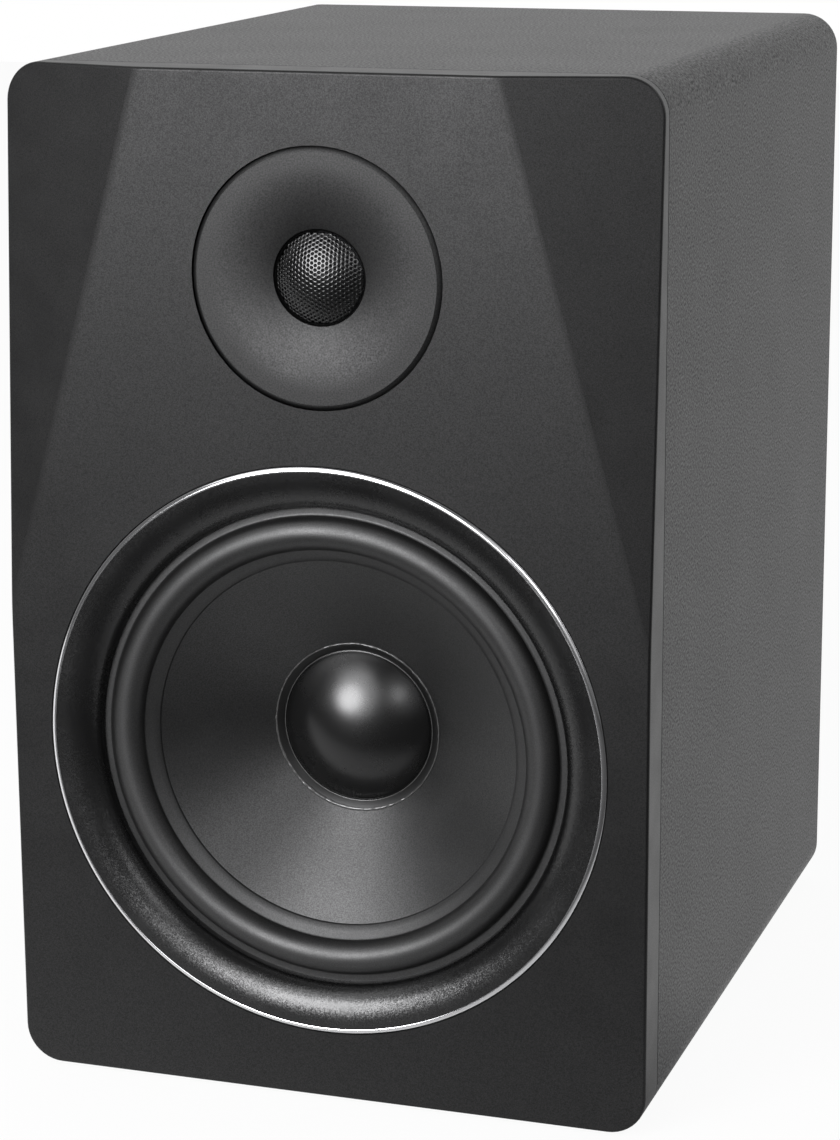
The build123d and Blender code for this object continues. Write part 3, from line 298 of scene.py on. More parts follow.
# %% Noise, tone and relief
def add_noise(tree, size, detail=3.0):
    """A noise on the part's own coordinates, whose cells are about size millimetres."""
    place = tree.nodes.new("ShaderNodeTexCoord")
    noise = tree.nodes.new("ShaderNodeTexNoise")
    noise.inputs["Scale"].default_value = 1 / (size * mm)
    noise.inputs["Detail"].default_value = detail
    tree.links.new(place.outputs["Object"], noise.inputs["Vector"])
    return noise.outputs["Fac"]


def toned(tree, value, colour, swing):
    """A colour that gets darker and lighter with a noise."""
    ramp = tree.nodes.new("ShaderNodeValToRGB")
    ramp.color_ramp.elements[0].position = 0.3
    ramp.color_ramp.elements[1].position = 0.7
    ramp.color_ramp.elements[0].color = (*(c * (1 - swing) for c in colour), 1)
    ramp.color_ramp.elements[1].color = (*(c * (1 + swing) for c in colour), 1)
    tree.links.new(value, ramp.inputs["Fac"])
    return ramp.outputs["Color"]


def raised(tree, height, rise):
    """A bump whose full height is rise millimetres."""
    bump = tree.nodes.new("ShaderNodeBump")
    bump.inputs["Distance"].default_value = rise * mm
    bump.inputs["Strength"].default_value = 1.0
    tree.links.new(height, bump.inputs["Height"])
    return bump.outputs["Normal"]


print("noise tools ready")

# %% [markdown]
# ## A finish with grain
# Vinyl, paint and moulded plastic share one build: a fine noise tints the tone and lifts the
# grain, and a broad one makes the gloss uneven, as wear does. Matt skins also sparkle a little
# from grain to grain.

# %% A finish with grain
def grained(name, colour, gloss, grain, rise, swing=0.2, uneven=0.03, metal=0.0, shine=0.5):
    """A finish with one grain, its size and rise in millimetres. Tone and gloss vary by swing."""
    look = bpy.data.materials.new(name)
    look.use_nodes = True
    tree = look.node_tree
    bsdf = tree.nodes["Principled BSDF"]
    bsdf.inputs["Metallic"].default_value = metal
    bsdf.inputs["Specular IOR Level"].default_value = shine
    fine = add_noise(tree, grain)
    tree.links.new(toned(tree, fine, colour, 0.6 * swing), bsdf.inputs["Base Color"])
    broad = add_noise(tree, 40 * grain, detail=4.0)
    worn = ranged(tree, broad, gloss - uneven, gloss + uneven)
    polish = ranged(tree, fine, 0.2 * swing * gloss, -0.2 * swing * gloss)
    tree.links.new(combined(tree, "ADD", worn, polish), bsdf.inputs["Roughness"])
    tree.links.new(raised(tree, fine, rise), bsdf.inputs["Normal"])
    return look


def glinting(look, grain, shine, swing):
    """Lets the small grains of a matt skin catch more or less light than their neighbours."""
    tree = look.node_tree
    glint = ranged(tree, add_noise(tree, grain), shine * (1 - swing), shine * (1 + swing))
    tree.links.new(glint, tree.nodes["Principled BSDF"].inputs["Specular IOR Level"])
    return look


print("grain tools ready")

# %% [markdown]
# ## Flakes and back paint
# The trim ring is moulded with metal flakes in it, and the raw edges of the box are painted at the
# back. Flakes could be modelled one by one. Leaning the normal of each small cell looks the same.

# %% Flakes and back paint
def speckled(name, colour, gloss, cell, tilt, shine=0.5):
    """A moulding full of flakes: each small cell mirrors a slightly different way."""
    look = grained(name, colour, gloss, 2 * cell, 0.0, swing=0.3, shine=shine)
    tree = look.node_tree
    place = tree.nodes.new("ShaderNodeTexCoord")
    cells = tree.nodes.new("ShaderNodeTexVoronoi")
    cells.inputs["Scale"].default_value = 1 / (cell * mm)
    centred = tree.nodes.new("ShaderNodeVectorMath")
    centred.operation = "SUBTRACT"
    centred.inputs[1].default_value = (0.5, 0.5, 0.5)
    leaning = tree.nodes.new("ShaderNodeVectorMath")
    leaning.operation = "SCALE"
    leaning.inputs["Scale"].default_value = 2 * tilt
    surface = tree.nodes.new("ShaderNodeNewGeometry")
    tilted = tree.nodes.new("ShaderNodeVectorMath")
    tilted.operation = "ADD"
    unit = tree.nodes.new("ShaderNodeVectorMath")
    unit.operation = "NORMALIZE"
    tree.links.new(place.outputs["Object"], cells.inputs["Vector"])
    tree.links.new(cells.outputs["Color"], centred.inputs[0])
    tree.links.new(centred.outputs["Vector"], leaning.inputs[0])
    tree.links.new(surface.outputs["Normal"], tilted.inputs[0])
    tree.links.new(leaning.outputs["Vector"], tilted.inputs[1])
    tree.links.new(tilted.outputs["Vector"], unit.inputs[0])
    tree.links.new(unit.outputs["Vector"], tree.nodes["Principled BSDF"].inputs["Normal"])
    return look


def back_painted(look, paint, plane):
    """Paints what faces the back: past a plane the bare tone gives way to the paint's."""
    tree = look.node_tree
    tone = tree.nodes["Principled BSDF"].inputs["Base Color"]
    place = tree.nodes.new("ShaderNodeTexCoord")
    axes = tree.nodes.new("ShaderNodeSeparateXYZ")
    past = tree.nodes.new("ShaderNodeMath")
    past.operation = "GREATER_THAN"
    past.inputs[1].default_value = plane
    coat = tree.nodes.new("ShaderNodeMix")
    coat.data_type = "RGBA"
    tree.links.new(place.outputs["Object"], axes.inputs["Vector"])
    tree.links.new(axes.outputs["Y"], past.inputs[0])
    tree.links.new(past.outputs["Value"], coat.inputs[0])
    tree.links.new(tone.links[0].from_socket, coat.inputs[6])
    tree.links.new(toned(tree, add_noise(tree, 0.7), paint, 0.2), coat.inputs[7])
    tree.links.new(coat.outputs[2], tone)
    return look


print("finish tools ready")

# %% [markdown]
# ## Outside finishes
# The box is wrapped in matt vinyl with a fine grain, and the baffle is sprayed satin black. Both
# could be one flat black, but the photograph shows a grain that catches the light, so noise drives
# it.

# %% Cabinet finishes
satin_black = (0.003, 0.003, 0.003)
back_black = (0.022, 0.022, 0.023)
finishes = {}
finishes["vinyl"] = grained(
    "vinyl_wrap", (0.023, 0.023, 0.0236), 0.4, 1.0, 0.08, swing=0.85, uneven=0.01)
finishes["baffle_paint"] = grained(
    "baffle_paint", (0.002, 0.002, 0.0021), 0.44, 0.42, 0.006, swing=0.3, shine=0.48)
glinting(finishes["vinyl"], 1.0, 0.115, 0.85)
glinting(finishes["baffle_paint"], 0.42, 0.46, 0.32)
finishes["rear_paint"] = grained("rear_paint", back_black, 0.5, 0.7, 0.02)
finishes["rubber"] = grained("foot_rubber", (0.02, 0.02, 0.02), 0.7, 0.4, 0.02)
finishes["black_plastic"] = grained(
    "black_moulding", (0.02, 0.02, 0.021), 0.42, 0.35, 0.015, swing=0.15)
print("cabinet finishes", sorted(finishes))

# %% [markdown]
# ## Woofer finishes
# A woofer joins rubber, a pressed cone, cloth, foil and steel. All but the speckled trim are the
# one grained finish with other numbers, which keeps them easy to compare.

# %% Woofer finishes
finishes["bright_bezel"] = grained(
    "polished_bezel", (0.9, 0.9, 0.91), 0.14, 0.6, 0.001, swing=0.02, uneven=0.02, metal=1.0)
finishes["trim_plastic"] = speckled(
    "speckled_trim", (0.0024, 0.0024, 0.0025), 0.27, 0.33, 0.065, shine=0.74)
finishes["surround_rubber"] = grained(
    "butyl_rubber", satin_black, 0.46, 0.5, 0.015, swing=0.25, shine=1.0)
finishes["cone"] = grained("matt_cone", satin_black, 0.4, 0.5, 0.012, swing=0.3, shine=0.94)
glinting(finishes["cone"], 0.5, 0.94, 0.3)
glinting(finishes["surround_rubber"], 0.5, 1.0, 0.2)
finishes["dust_cap"] = grained(
    "soft_gloss_cap", (0.0024, 0.0024, 0.0024), 0.265, 0.6, 0.001, swing=0.12, shine=0.8)
finishes["copper"] = grained(
    "enamelled_copper", (0.72, 0.32, 0.15), 0.3, 0.3, 0.01, metal=1.0)
finishes["former"] = grained(
    "foil_former", (0.75, 0.75, 0.76), 0.3, 0.4, 0.004, swing=0.08, metal=1.0)
finishes["spider_cloth"] = grained(
    "varnished_cotton", (0.55, 0.38, 0.14), 0.65, 0.5, 0.06, swing=0.3)
finishes["motor_steel"] = grained(
    "plated_steel", (0.55, 0.55, 0.56), 0.35, 0.4, 0.005, swing=0.1, metal=1.0)
finishes["ferrite"] = grained(
    "sintered_ferrite", (0.05, 0.05, 0.053), 0.55, 0.6, 0.03, swing=0.3)
finishes["phenolic"] = grained("phenolic_board", (0.22, 0.1, 0.04), 0.4, 0.5, 0.01, swing=0.3)
print("woofer finishes", len(finishes))

# %% [markdown]
# ## Tweeter finishes
# The tweeter is satin plastic, black steel and silk. The steel is the glossiest of the three, so
# that the lamps show as a small bright spot between the holes of the grille.

# %% Tweeter finishes
finishes["waveguide_plastic"] = grained(
    "satin_waveguide", (0.003, 0.003, 0.0031), 0.5, 0.6, 0.015, swing=0.25, shine=0.6)
glinting(finishes["waveguide_plastic"], 0.6, 0.6, 0.28)
finishes["black_steel"] = grained(
    "black_steel", satin_black, 0.17, 0.4, 0.002, swing=0.15, shine=0.9)
finishes["silk"] = grained("doped_silk", (0.03, 0.03, 0.033), 0.5, 0.25, 0.02)
print("with the tweeter's", len(finishes))

# %% [markdown]
# ## Inside finishes
# Inside are foam, wadding, gilt terminals and the parts of the crossover. The photograph doesn't
# show them, so they take the usual colours of such parts.

# %% Inside finishes
finishes["gasket_foam"] = grained(
    "closed_cell_foam", (0.035, 0.035, 0.035), 0.85, 0.5, 0.1, swing=0.4)
finishes["wadding"] = grained(
    "polyester_wadding", (0.75, 0.75, 0.72), 0.9, 1.2, 0.6, swing=0.15)
finishes["terminal_metal"] = grained(
    "gilt_brass", (0.9, 0.66, 0.28), 0.2, 0.4, 0.003, swing=0.05, metal=1.0)
finishes["red_plastic"] = grained(
    "red_moulding", (0.5, 0.012, 0.012), 0.22, 0.5, 0.004, swing=0.1)
finishes["nut_black"] = grained(
    "gloss_black_moulding", (0.015, 0.015, 0.016), 0.25, 0.5, 0.004, swing=0.1)
finishes["zinc"] = grained(
    "zinc_plate", (0.62, 0.62, 0.63), 0.35, 0.4, 0.006, swing=0.1, metal=1.0)
finishes["board"] = grained("circuit_board", (0.05, 0.16, 0.05), 0.35, 0.8, 0.01)
finishes["coil"] = grained("wound_copper", (0.7, 0.3, 0.14), 0.32, 0.5, 0.03, metal=1.0)
finishes["film_capacitor"] = grained(
    "film_capacitor", (0.6, 0.42, 0.06), 0.3, 0.8, 0.005, swing=0.1)
finishes["cement"] = grained("cement_case", (0.75, 0.74, 0.7), 0.85, 0.5, 0.05, swing=0.1)
finishes["wire"] = grained("wire_sleeve", (0.02, 0.02, 0.02), 0.45, 0.4, 0.008)
finishes["mdf"] = grained("raw_fibreboard", (0.36, 0.24, 0.14), 0.7, 0.5, 0.05, swing=0.25)
back_painted(finishes["mdf"], back_black, rear_y - 0.3 * mm)
print("all finishes", len(finishes))

# %% [markdown]
# ## Dress the solids
# The record says which finish each solid takes. The solids keep their shape, and only their
# material slots change.

# %% Hand out the finishes
for row in frame["record"]["subparts"]:
    part = nodes[row["node"]]
    part.data.materials.clear()
    part.data.materials.append(finishes[row["material_slot"]])

# %% [markdown]
# ## Turned pieces
# A loudspeaker is mostly rings. Each ring is drawn as half of its cross-section, one point
# extruded to the next, and spun once round the axis of its driver, as a wood turner would see it.
# Radii and depths are in millimetres, and the depth counts from the front of the baffle.

# %% Profile and spin
def arc(centre, radius, first, last, count):
    """Points on a circle of a profile, by angle from straight out, turning towards the front."""
    steps = [radians(first + (last - first) * i / count) for i in range(count + 1)]
    return [(centre[0] + radius * cos(a), centre[1] - radius * sin(a)) for a in steps]


def turned(name, axis_z, profile, steps=256, closed=True):
    """Draws a profile of radius and depth and spins it round an axis that points to the front."""
    points = [Vector((r * mm, front_y + d * mm, axis_z)) for r, d in profile]
    bpy.ops.object.select_all(action="DESELECT")
    bpy.ops.mesh.primitive_plane_add(size=mm, location=(0, 0, 0))
    piece = bpy.context.active_object
    piece.name = name
    bpy.ops.object.mode_set(mode="EDIT")
    bpy.ops.mesh.select_all(action="SELECT")
    bpy.ops.mesh.merge(type="CENTER")
    bpy.ops.transform.translate(value=points[0])
    for here, there in pairwise(points + points[:closed]):
        bpy.ops.mesh.extrude_region_move(TRANSFORM_OT_translate={"value": there - here})
    bpy.ops.mesh.select_all(action="SELECT")
    bpy.ops.mesh.spin(steps=steps, angle=2 * pi, center=(0, front_y, axis_z), axis=(0, 1, 0))
    bpy.ops.mesh.select_all(action="SELECT")
    bpy.ops.mesh.remove_doubles(threshold=0.002 * mm)
    bpy.ops.mesh.normals_make_consistent(inside=False)
    bpy.ops.object.mode_set(mode="OBJECT")
    bpy.ops.object.shade_smooth_by_angle(angle=radians(35))
    print(name, len(piece.data.polygons), "faces")
    return piece


def flexed(piece):
    """Bakes a ring's placement into its mesh."""
    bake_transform(piece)


print("turning tools ready")

# %% [markdown]
# ## Bright bezel
# A thin plated ring frames the woofer. What reads as a bright line is its bevel, which mirrors the
# floor at the left and below, and the lamps above. A flat bevel would flash all at once, so it is
# turned as a soft round-over, steeper towards the outside.

# %% Bezel
bezel_back = (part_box("woofer_bezel")[1].y - front_y) / mm
bezel_inner, bezel_outer = 110.9, 113.0
bezel_profile = [(bezel_inner, bezel_back), (bezel_inner, -0.5), (111.0, -0.7), (111.2, -0.8)]
bezel_profile += [(111.4, -0.8), (111.6, -0.77), (111.9, -0.67), (112.25, -0.5), (112.58, -0.28)]
bezel_profile += [(112.82, -0.06), (112.95, 0.14), (bezel_outer, 0.4), (bezel_outer, bezel_back)]
bezel = turned("rounded_bezel", woofer_z, bezel_profile, steps=360)
bezel.data.materials.append(finishes["bright_bezel"])
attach(bezel, "cabinet")
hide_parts("woofer_bezel")

# %% [markdown]
# ## Rubber surround
# The surround lets the cone travel: a flat outer flange is clamped under the trim ring, a half
# roll flexes, and an inner lip is glued on the cone. It is drawn with small fillets where the roll
# meets the flange and the lip.

# %% Surround
cone_lip_depth, cone_slope, lip_inner = 15.4, 0.636, 73.1


def cone_depth(radius):
    """Depth of the front of the cone at a radius, in millimetres."""
    return cone_lip_depth + cone_slope * (lip_inner - radius)


roll_centre = (85.2, 11.6)
surround_front = [(99.0, 10.5), (95.0, 10.5), (92.7, 10.5), (92.3, 10.44), (92.05, 10.25)]
surround_front += arc(roll_centre, 6.8, 13, 170, 44)
surround_front += [(78.46, 10.8), (78.42, 11.1)]
surround_front += [(r, cone_depth(r) - 0.8) for r in (78.3, 77.9, 75.5, 73.5)] + [(73.2, 14.8)]
surround_back = [(73.1, 15.35), (78.4, 12.0), (79.4, 11.9)]
surround_back += arc(roll_centre, 5.8, 178, 2, 36)
surround_back += [(91.2, 11.5), (99.0, 11.5)]
surround = turned("rubber_surround", woofer_z, surround_front + surround_back)
surround.data.materials.append(finishes["surround_rubber"])
flexed(surround)
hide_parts("woofer_surround")

# %% [markdown]
# ## Spider
# Behind the cone a corrugated cloth disc keeps the coil in the middle. A displaced flat ring could
# stand for it. A turned wave gives true corrugations.

# %% Spider
spider_inner, spider_width, spider_points = 19.4, 46.1, 180
spider_radii = [
    spider_inner + spider_width * i / spider_points for i in range(spider_points + 1)
]
spider_depth, spider_height, spider_cloth = 56.0, 1.6, 0.8
wave_inner, wave_outer = 26.0, 57.0


def spider_wave(radius):
    """Depth of the corrugated cloth at a radius: five waves between flat rims."""
    share = min(max((radius - wave_inner) / (wave_outer - wave_inner), 0), 1)
    return spider_depth - spider_height * sin(10 * pi * share)


spider_profile = [(r, spider_wave(r)) for r in spider_radii]
spider_profile += [(r, spider_wave(r) + spider_cloth) for r in reversed(spider_radii)]
spider = turned("cloth_spider", woofer_z, spider_profile, steps=128)
spider.data.materials.append(finishes["spider_cloth"])
flexed(spider)
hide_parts("woofer_spider")

# %% [markdown]
# ## Tweeter suspension
# The silk dome hangs in a small half roll of its own cloth. It is turned like the surround, with a
# front and a back line, because a single skin would have no edge where it is glued.

# %% Tweeter suspension
silk_centre = (15.0, 9.9)
silk_front = [(21.0, 9.5), (17.3, 9.5)] + arc(silk_centre, 2.1, 12, 168, 24)
silk_front += [(12.72, 9.6), (12.3, 9.45)]
silk_back = [(12.3, 9.6), (12.72, 9.75)] + arc(silk_centre, 1.7, 176, 0, 24) + [(21.0, 9.9)]
silk_profile = silk_front + silk_back
suspension = turned("silk_suspension", tweeter_z, silk_profile, steps=128)
suspension.data.materials.append(finishes["silk"])
flexed(suspension)
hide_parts("tweeter_suspension")

# %% [markdown]
# ## Tweeter waveguide
# The waveguide is one moulding: a shallow flare leads out from the dome, and a flat bevel round
# the edge leaves a dark line against the baffle. The flare could be one arc. It is drawn from the
# edge inwards by its slope, because the slope decides what it mirrors, and then spun.

# %% Waveguide
guide_edge, guide_face, guide_proud = 49.0, 47.25, 0.4
guide_flange, guide_spigot, guide_back = 4.5, 38.0, 9.5
flare_slopes = [(43.0, 0), (32.0, 9.2), (24.0, 14.5), (18.3, 20.5)]
flare_steps = 12
guide_front = [(guide_face, -guide_proud), (43.0, -guide_proud)]
for (outer, first), (inner, last) in pairwise(flare_slopes):
    for i in range(flare_steps):
        slope = radians(first + (last - first) * (i + 0.5) / flare_steps)
        step = (outer - inner) / flare_steps
        r, depth = guide_front[-1]
        guide_front.append((r - step, depth + step * tan(slope)))
throat_radius = guide_front[-1][0]
guide_profile = [(guide_edge, guide_flange), (guide_edge, 1.05), (48.9, 0.92), (47.4, -0.16)]
guide_profile += [(47.32, -0.18), (47.28, -0.3)] + guide_front + [(throat_radius, guide_back)]
guide_profile += [(guide_spigot, guide_back), (guide_spigot, guide_flange)]
waveguide = turned("moulded_waveguide", tweeter_z, guide_profile)

# %% [markdown]
# ## Bosses of the waveguide
# Four bosses behind the flange take the screws. One is modelled as a cylinder with a blind hole
# and copied round the axis, so that all four are the same.

# %% Bosses of the waveguide
boss_radius, boss_hole, boss_reach, boss_circle = 3.5, 1.6, 13.8, 44.4
boss_x = boss_circle * cos(pi / 4) * mm
boss_z = tweeter_z + boss_circle * sin(pi / 4) * mm
bpy.ops.object.select_all(action="DESELECT")
bpy.ops.mesh.primitive_cylinder_add(
    vertices=40, radius=boss_radius * mm, depth=boss_reach * mm, rotation=(pi / 2, 0, 0),
    location=(boss_x, front_y + (guide_flange + boss_reach / 2) * mm, boss_z),
)
boss = bpy.context.active_object
bpy.ops.object.transform_apply(location=True, rotation=True, scale=True)
bpy.ops.object.mode_set(mode="EDIT")
bpy.ops.mesh.select_mode(type="FACE")
bpy.ops.mesh.select_all(action="DESELECT")
bpy.ops.object.mode_set(mode="OBJECT")
for face in boss.data.polygons:
    face.select = face.normal.y > 0.9
bpy.ops.object.mode_set(mode="EDIT")
bpy.ops.mesh.inset(thickness=(boss_radius - boss_hole) * mm)
bpy.ops.mesh.extrude_region_move(TRANSFORM_OT_translate={"value": (0, -boss_reach * mm, 0)})
bpy.ops.mesh.select_all(action="SELECT")
for _ in range(3):
    bpy.ops.mesh.duplicate()
    bpy.ops.transform.rotate(value=pi / 2, orient_axis="Y", center_override=(0, front_y, tweeter_z))
bpy.ops.mesh.select_mode(type="VERT")
bpy.ops.object.mode_set(mode="OBJECT")
waveguide.select_set(True)
bpy.context.view_layer.objects.active = waveguide
bpy.ops.object.join()
bpy.ops.object.shade_smooth_by_angle(angle=radians(30))
waveguide.data.materials.append(finishes["waveguide_plastic"])
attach(waveguide, "cabinet")
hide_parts("tweeter_waveguide")
print("waveguide", len(waveguide.data.polygons), "faces")

# %% [markdown]
# ## Perforated grille
# The tweeter's dome is guarded by a cap of thin steel full of round holes. A bump could fake them,
# but light passes through real ones. A flat fan of triangles is divided until its corners are one
# hole apart, and each corner is bevelled into a hexagon and cut out.

# %% Grille sheet
grille_pitch, hole_corner = 1.75, 0.6
fan_rows = 13
dome_sphere, dome_apex = 31.32, -0.6
dome_edge, sheet_edge = 18.0, 17.75
sheet_thickness = 0.5
bpy.ops.object.select_all(action="DESELECT")
bpy.ops.mesh.primitive_circle_add(
    vertices=6, radius=fan_rows * grille_pitch * mm, fill_type="TRIFAN"
)
grille = bpy.context.active_object
grille.name = "perforated_grille"
bpy.ops.object.mode_set(mode="EDIT")
bpy.ops.mesh.select_all(action="SELECT")
bpy.ops.mesh.subdivide(number_cuts=fan_rows - 1)
bpy.ops.object.mode_set(mode="OBJECT")
lattice = KDTree(len(grille.data.vertices))
for vertex in grille.data.vertices:
    lattice.insert(vertex.co, vertex.index)
lattice.balance()
bpy.ops.object.mode_set(mode="EDIT")
bpy.ops.mesh.select_all(action="SELECT")
bpy.ops.mesh.bevel(offset=hole_corner * mm, affect="VERTICES", segments=1)
bpy.ops.mesh.select_all(action="DESELECT")
bpy.ops.mesh.select_mode(type="FACE")
bpy.ops.object.mode_set(mode="OBJECT")
for face in grille.data.polygons:
    face.select = lattice.find(face.center)[2] < 0.05 * mm
holes = sum(face.select for face in grille.data.polygons)
bpy.ops.object.mode_set(mode="EDIT")
bpy.ops.mesh.delete(type="ONLY_FACE")
bpy.ops.mesh.select_mode(type="VERT")
print("holes in the sheet", holes)

# %% [markdown]
# ## Wrap the sheet over the dome
# The real cap is pressed from flat sheet. The flat one is wrapped over a sphere by arc length, so
# that the holes keep their size, and then it gets its thickness and soft edges.

# %% Wrap the sheet over the dome
bpy.ops.mesh.select_all(action="DESELECT")
bpy.ops.object.mode_set(mode="OBJECT")
edge_arc = dome_sphere * asin(sheet_edge / dome_sphere)
for vertex in grille.data.vertices:
    vertex.select = vertex.co.length > edge_arc * mm
bpy.ops.object.mode_set(mode="EDIT")
bpy.ops.mesh.delete(type="VERT")
bpy.ops.object.mode_set(mode="OBJECT")
for vertex in grille.data.vertices:
    flat = vertex.co.copy()
    turn = flat.length / (dome_sphere * mm)
    spread = dome_sphere * mm * sin(turn) / max(flat.length, 1e-9)
    depth = dome_apex + dome_sphere * (1 - cos(turn))
    vertex.co = Vector((flat.x * spread, front_y + depth * mm, tweeter_z + flat.y * spread))
bpy.ops.object.mode_set(mode="EDIT")
bpy.ops.mesh.select_all(action="SELECT")
bpy.ops.mesh.normals_make_consistent(inside=False)
bpy.ops.object.mode_set(mode="OBJECT")
facing = sum(face.normal.y for face in grille.data.polygons)
if facing > 0:
    grille.data.flip_normals()
rounding = grille.modifiers.new("rounding", "SUBSURF")
rounding.levels = rounding.render_levels = 1
wall = grille.modifiers.new("wall", "SOLIDIFY")
wall.thickness = sheet_thickness * mm
wall.offset = -1
softening = grille.modifiers.new("softening", "BEVEL")
softening.width = 0.09 * mm
softening.segments = 1
softening.limit_method = "ANGLE"
softening.angle_limit = radians(50)
for modifier in ("rounding", "wall", "softening"):
    bpy.ops.object.modifier_apply(modifier=modifier)
bpy.ops.object.shade_smooth()
grille.data.materials.append(finishes["black_steel"])
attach(grille, "cabinet")
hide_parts("tweeter_grille")
print("grille", len(grille.data.polygons), "faces")

# %% [markdown]
# ## Rim of the grille
# The edge of the cap has no holes, and it turns back into the waveguide. It is turned as a ring of
# its own, which overlaps the cut edge of the sheet a little and hides it.

# %% Rim of the grille
rim_overlap, rim_wall, rim_steps, rim_end = 0.15, 0.6, 6, 9.1
rim_inside = dome_sphere - rim_wall
rim_start = asin((sheet_edge - rim_overlap) / dome_sphere)
rim_stop = asin(dome_edge / dome_sphere)
rim_front, rim_back = [], []
for i in range(rim_steps + 1):
    turn = rim_start + (rim_stop - rim_start) * i / rim_steps
    rim_front.append((dome_sphere * sin(turn), dome_apex + dome_sphere * (1 - cos(turn))))
    rim_back.append((rim_inside * sin(turn), dome_apex + dome_sphere - rim_inside * cos(turn)))
rim_profile = rim_front + [(dome_edge, rim_end), (dome_edge - rim_wall, rim_end)] + rim_back[::-1]
rim = turned("grille_rim", tweeter_z, rim_profile, steps=160)
rim.data.materials.append(finishes["black_steel"])
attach(rim, "cabinet")

# %% [markdown]
# ## Dust cap
# A pressed dome closes the middle of the cone. Part of a sphere could stand for it, but its glued
# rim shows. It is drawn from its crown outwards, with a small roll where the dome turns into the
# rim, and back along the inside.

# %% Dust cap
cap_sphere, cap_crown, cap_edge, cap_rim, cap_wall = 44.76, 29.69, 30.5, 33.7, 0.8
cap_turn = asin((cap_edge - 0.25) / cap_sphere)
cap_points, flange_from = 28, 30.9


def cap_curve(sphere, crown, count):
    """Points on the dome from its crown to its edge."""
    turns = [cap_turn * i / count for i in range(count + 1)]
    return [(sphere * sin(t), crown + sphere * (1 - cos(t))) for t in turns]


cap_inside = cap_curve(cap_sphere - cap_wall, cap_crown + cap_wall, cap_points)
rim_depth = cone_depth(cap_rim)
cap_profile = cap_curve(cap_sphere, cap_crown, cap_points)
cap_profile += [(30.4, 41.72), (30.62, 41.78), (30.85, 41.6), (33.3, cone_depth(33.3) - cap_wall)]
cap_profile += [(33.6, cone_depth(33.6) - 0.7), (cap_rim, rim_depth - 0.45), (cap_rim, rim_depth)]
cap_profile += [(29.7, cone_depth(29.7))] + cap_inside[-2::-1]
dust_cap = turned("pressed_dust_cap", woofer_z, cap_profile, steps=192, closed=False)
dust_cap.data.materials.append(finishes["dust_cap"])
glued_flange = grained("glued_flange", satin_black, 0.4, 0.5, 0.006, swing=0.3, shine=0.42)
dust_cap.data.materials.append(glued_flange)
for face in dust_cap.data.polygons:
    radius = Vector((face.center.x, face.center.z - woofer_z)).length
    face.material_index = int(radius > flange_from * mm)
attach(dust_cap, "woofer_diaphragm")
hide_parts("woofer_dust_cap")

# %% [markdown]
# ## Glue bead
# The dust cap is glued on by hand, and a thin bead of clear adhesive shows all round its ring. A
# smooth ring would look like a moulding, so a slim torus is made uneven by a cloud texture.

# %% Glue beads
lumps = bpy.data.textures.new("glue_lumps", "CLOUDS")
lumps.noise_scale = 1.6 * mm
run_toward = Vector((-0.45, -0.89))
glue = grained("dried_glue", (0.06, 0.06, 0.059), 0.14, 1.0, 0.02, swing=0.3, shine=1.0)


def glue_bead(name, radius, depth, thickness, lumpiness):
    """A ring of glue round the cap, thicker where it has run down to the lower left."""
    bpy.ops.object.select_all(action="DESELECT")
    bpy.ops.mesh.primitive_torus_add(
        major_segments=256, minor_segments=10,
        major_radius=radius * mm, minor_radius=thickness * mm,
        location=(0, front_y + depth * mm, woofer_z), rotation=(pi / 2, 0, 0),
    )
    bead = bpy.context.active_object
    bead.name = name
    bpy.ops.object.transform_apply(location=True, rotation=True, scale=True)
    run = bead.vertex_groups.new(name="run")
    for vertex in bead.data.vertices:
        side = Vector((vertex.co.x, vertex.co.z - woofer_z)).normalized()
        run.add([vertex.index], max(0, side.dot(run_toward)) ** 2, "REPLACE")
    uneven = bead.modifiers.new("uneven", "DISPLACE")
    uneven.texture = lumps
    uneven.texture_coords = "LOCAL"
    uneven.strength = lumpiness * mm
    uneven.mid_level = 0.5
    thicker = bead.modifiers.new("thicker", "DISPLACE")
    thicker.vertex_group = "run"
    thicker.strength = 0.6 * lumpiness * mm
    thicker.mid_level = 0
    for modifier in ("uneven", "thicker"):
        bpy.ops.object.modifier_apply(modifier=modifier)
    bpy.ops.object.shade_smooth()
    bead.data.materials.append(glue)
    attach(bead, "woofer_diaphragm")
    print(name, len(bead.data.polygons), "faces")


glue_bead("outer_glue", 33.9, cone_depth(33.9) - 0.22, 0.34, 0.8)
glue_bead("inner_glue", 30.75, 41.58, 0.2, 0.12)

# %% [markdown]
# ## Tinsel leads
# Two braided leads carry the signal from the fixed strip to the moving cone. They are taken over
# from the solids as they are and welded into one skin.

# %% Tinsel leads
bpy.ops.object.select_all(action="DESELECT")
leads = bpy.data.objects.new("braided_leads", nodes["tinsel_leads"].data.copy())
scene.collection.objects.link(leads)
leads.select_set(True)
bpy.context.view_layer.objects.active = leads
bpy.ops.object.mode_set(mode="EDIT")
bpy.ops.mesh.select_all(action="SELECT")
bpy.ops.mesh.remove_doubles(threshold=0.001 * mm)
bpy.ops.object.mode_set(mode="OBJECT")
bpy.ops.object.shade_smooth()
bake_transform(leads)
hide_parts("tinsel_leads")
print("leads", len(leads.data.polygons), "faces")
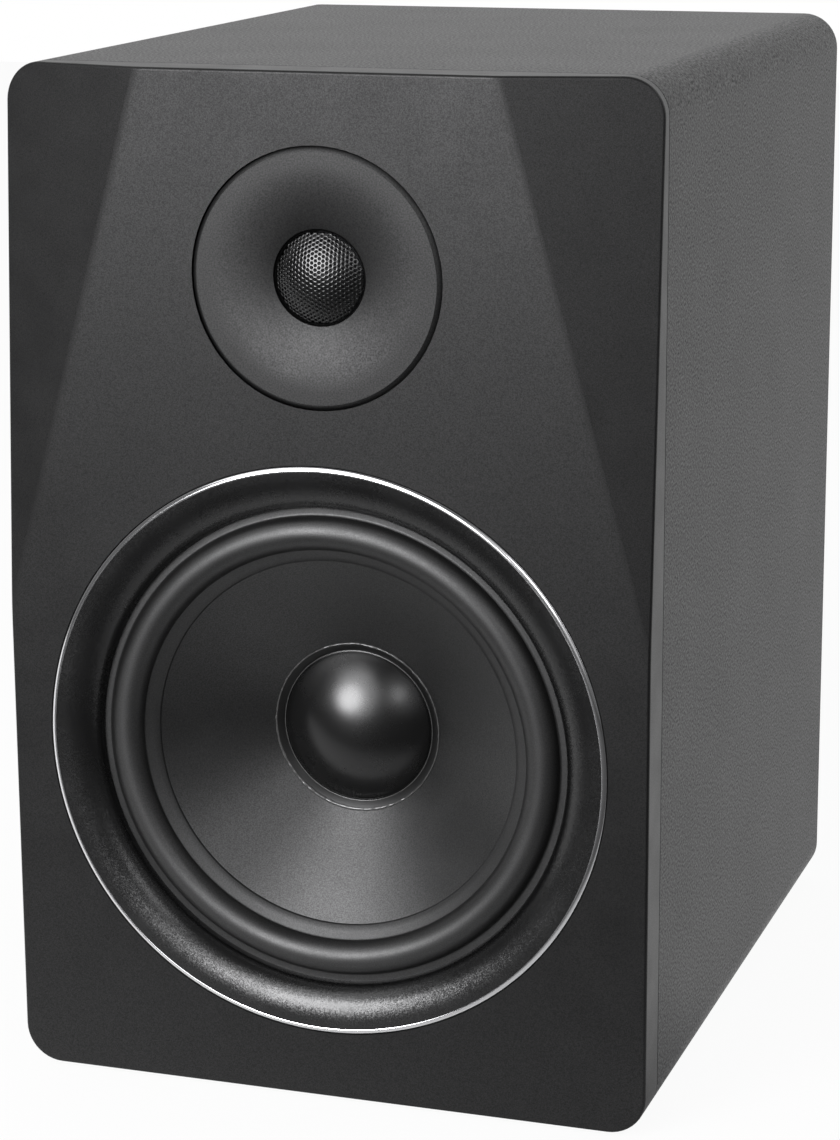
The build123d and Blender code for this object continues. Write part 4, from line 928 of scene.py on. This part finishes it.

# %% [markdown]
# ## Wadding
# Behind the drivers the walls are lined with loose white wadding. Plain blocks would look hard. A
# line along the wall is pulled into a sheet, given its thickness, and made fluffy with a cloud
# texture.

# %% Wadding
wadding_thickness, wadding_step = 11.0, 10.0
wadding_low, wadding_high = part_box("upper_wadding")
wadding_length = (wadding_high.y - wadding_low.y) / mm
fluff = bpy.data.textures.new("fluff", "CLOUDS")
fluff.noise_scale = 15 * mm


def wadding_mat(name, path):
    """Pulls a line of places in width and height along the depth into a soft mat."""
    bpy.ops.object.select_all(action="DESELECT")
    bpy.ops.mesh.primitive_plane_add(size=mm, location=(0, 0, 0))
    mat = bpy.context.active_object
    mat.name = name
    bpy.ops.object.mode_set(mode="EDIT")
    bpy.ops.mesh.select_all(action="SELECT")
    bpy.ops.mesh.merge(type="CENTER")
    inset = wadding_thickness / 2 * mm
    bpy.ops.transform.translate(value=(path[0][0] * mm, wadding_low.y + inset, path[0][1] * mm))
    for here, there in pairwise(path):
        move = ((there[0] - here[0]) * mm, 0, (there[1] - here[1]) * mm)
        bpy.ops.mesh.extrude_region_move(TRANSFORM_OT_translate={"value": move})
    bpy.ops.mesh.select_all(action="SELECT")
    rows = int(wadding_length / wadding_step) - 1
    row = (wadding_length * mm - 2 * inset) / rows
    for _ in range(rows):
        bpy.ops.mesh.extrude_region_move(TRANSFORM_OT_translate={"value": (0, row, 0)})
    bpy.ops.mesh.select_all(action="SELECT")
    bpy.ops.mesh.normals_make_consistent(inside=False)
    bpy.ops.object.mode_set(mode="OBJECT")
    body = mat.modifiers.new("body", "SOLIDIFY")
    body.thickness = wadding_thickness * mm
    body.offset = 0
    soft = mat.modifiers.new("soft", "SUBSURF")
    soft.levels = soft.render_levels = 1
    fluffy = mat.modifiers.new("lumps", "DISPLACE")
    fluffy.texture = fluff
    fluffy.texture_coords = "LOCAL"
    fluffy.strength = 4 * mm
    fluffy.mid_level = 0.6
    for modifier in ("body", "soft", "lumps"):
        bpy.ops.object.modifier_apply(modifier=modifier)
    bpy.ops.object.shade_smooth()
    mat.data.materials.append(finishes["wadding"])
    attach(mat, "cabinet")
    print(name, len(mat.data.polygons), "faces")
    return mat


print("wadding tools ready")

# %% [markdown]
# ## Lay the mats
# One mat arches over the tweeter from wall to wall, and two pads line the walls lower down. Each
# follows the solid that it stands for, half its thickness off the wall.

# %% Lay the mats
def along(first, last):
    """Places on a straight stretch of a path, about one step apart."""
    count = max(1, round(abs(last - first) / wadding_step))
    return [first + (last - first) * i / count for i in range(count + 1)]


half_solid = 7.5
wall_x = wadding_high.x / mm - half_solid
roof_z = wadding_high.z / mm - half_solid
foot_z = wadding_low.z / mm + wadding_thickness / 2
corner = 12.0
arch = [(-wall_x, z) for z in along(foot_z, roof_z - corner)]
arch += [(x, roof_z) for x in along(corner - wall_x, wall_x - corner)]
arch += [(wall_x, z) for z in along(roof_z - corner, foot_z)]
upper_mat = wadding_mat("upper_mat", arch)
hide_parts("upper_wadding")
pad_low, pad_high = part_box("lower_wadding")
pad_ends = (pad_low.z / mm + wadding_thickness / 2, pad_high.z / mm - wadding_thickness / 2)
left_mat = wadding_mat("lower_left_mat", [(-wall_x, z) for z in along(*pad_ends)])
wadding_mat("lower_right_mat", [(wall_x, z) for z in along(*pad_ends)])
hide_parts("lower_wadding")
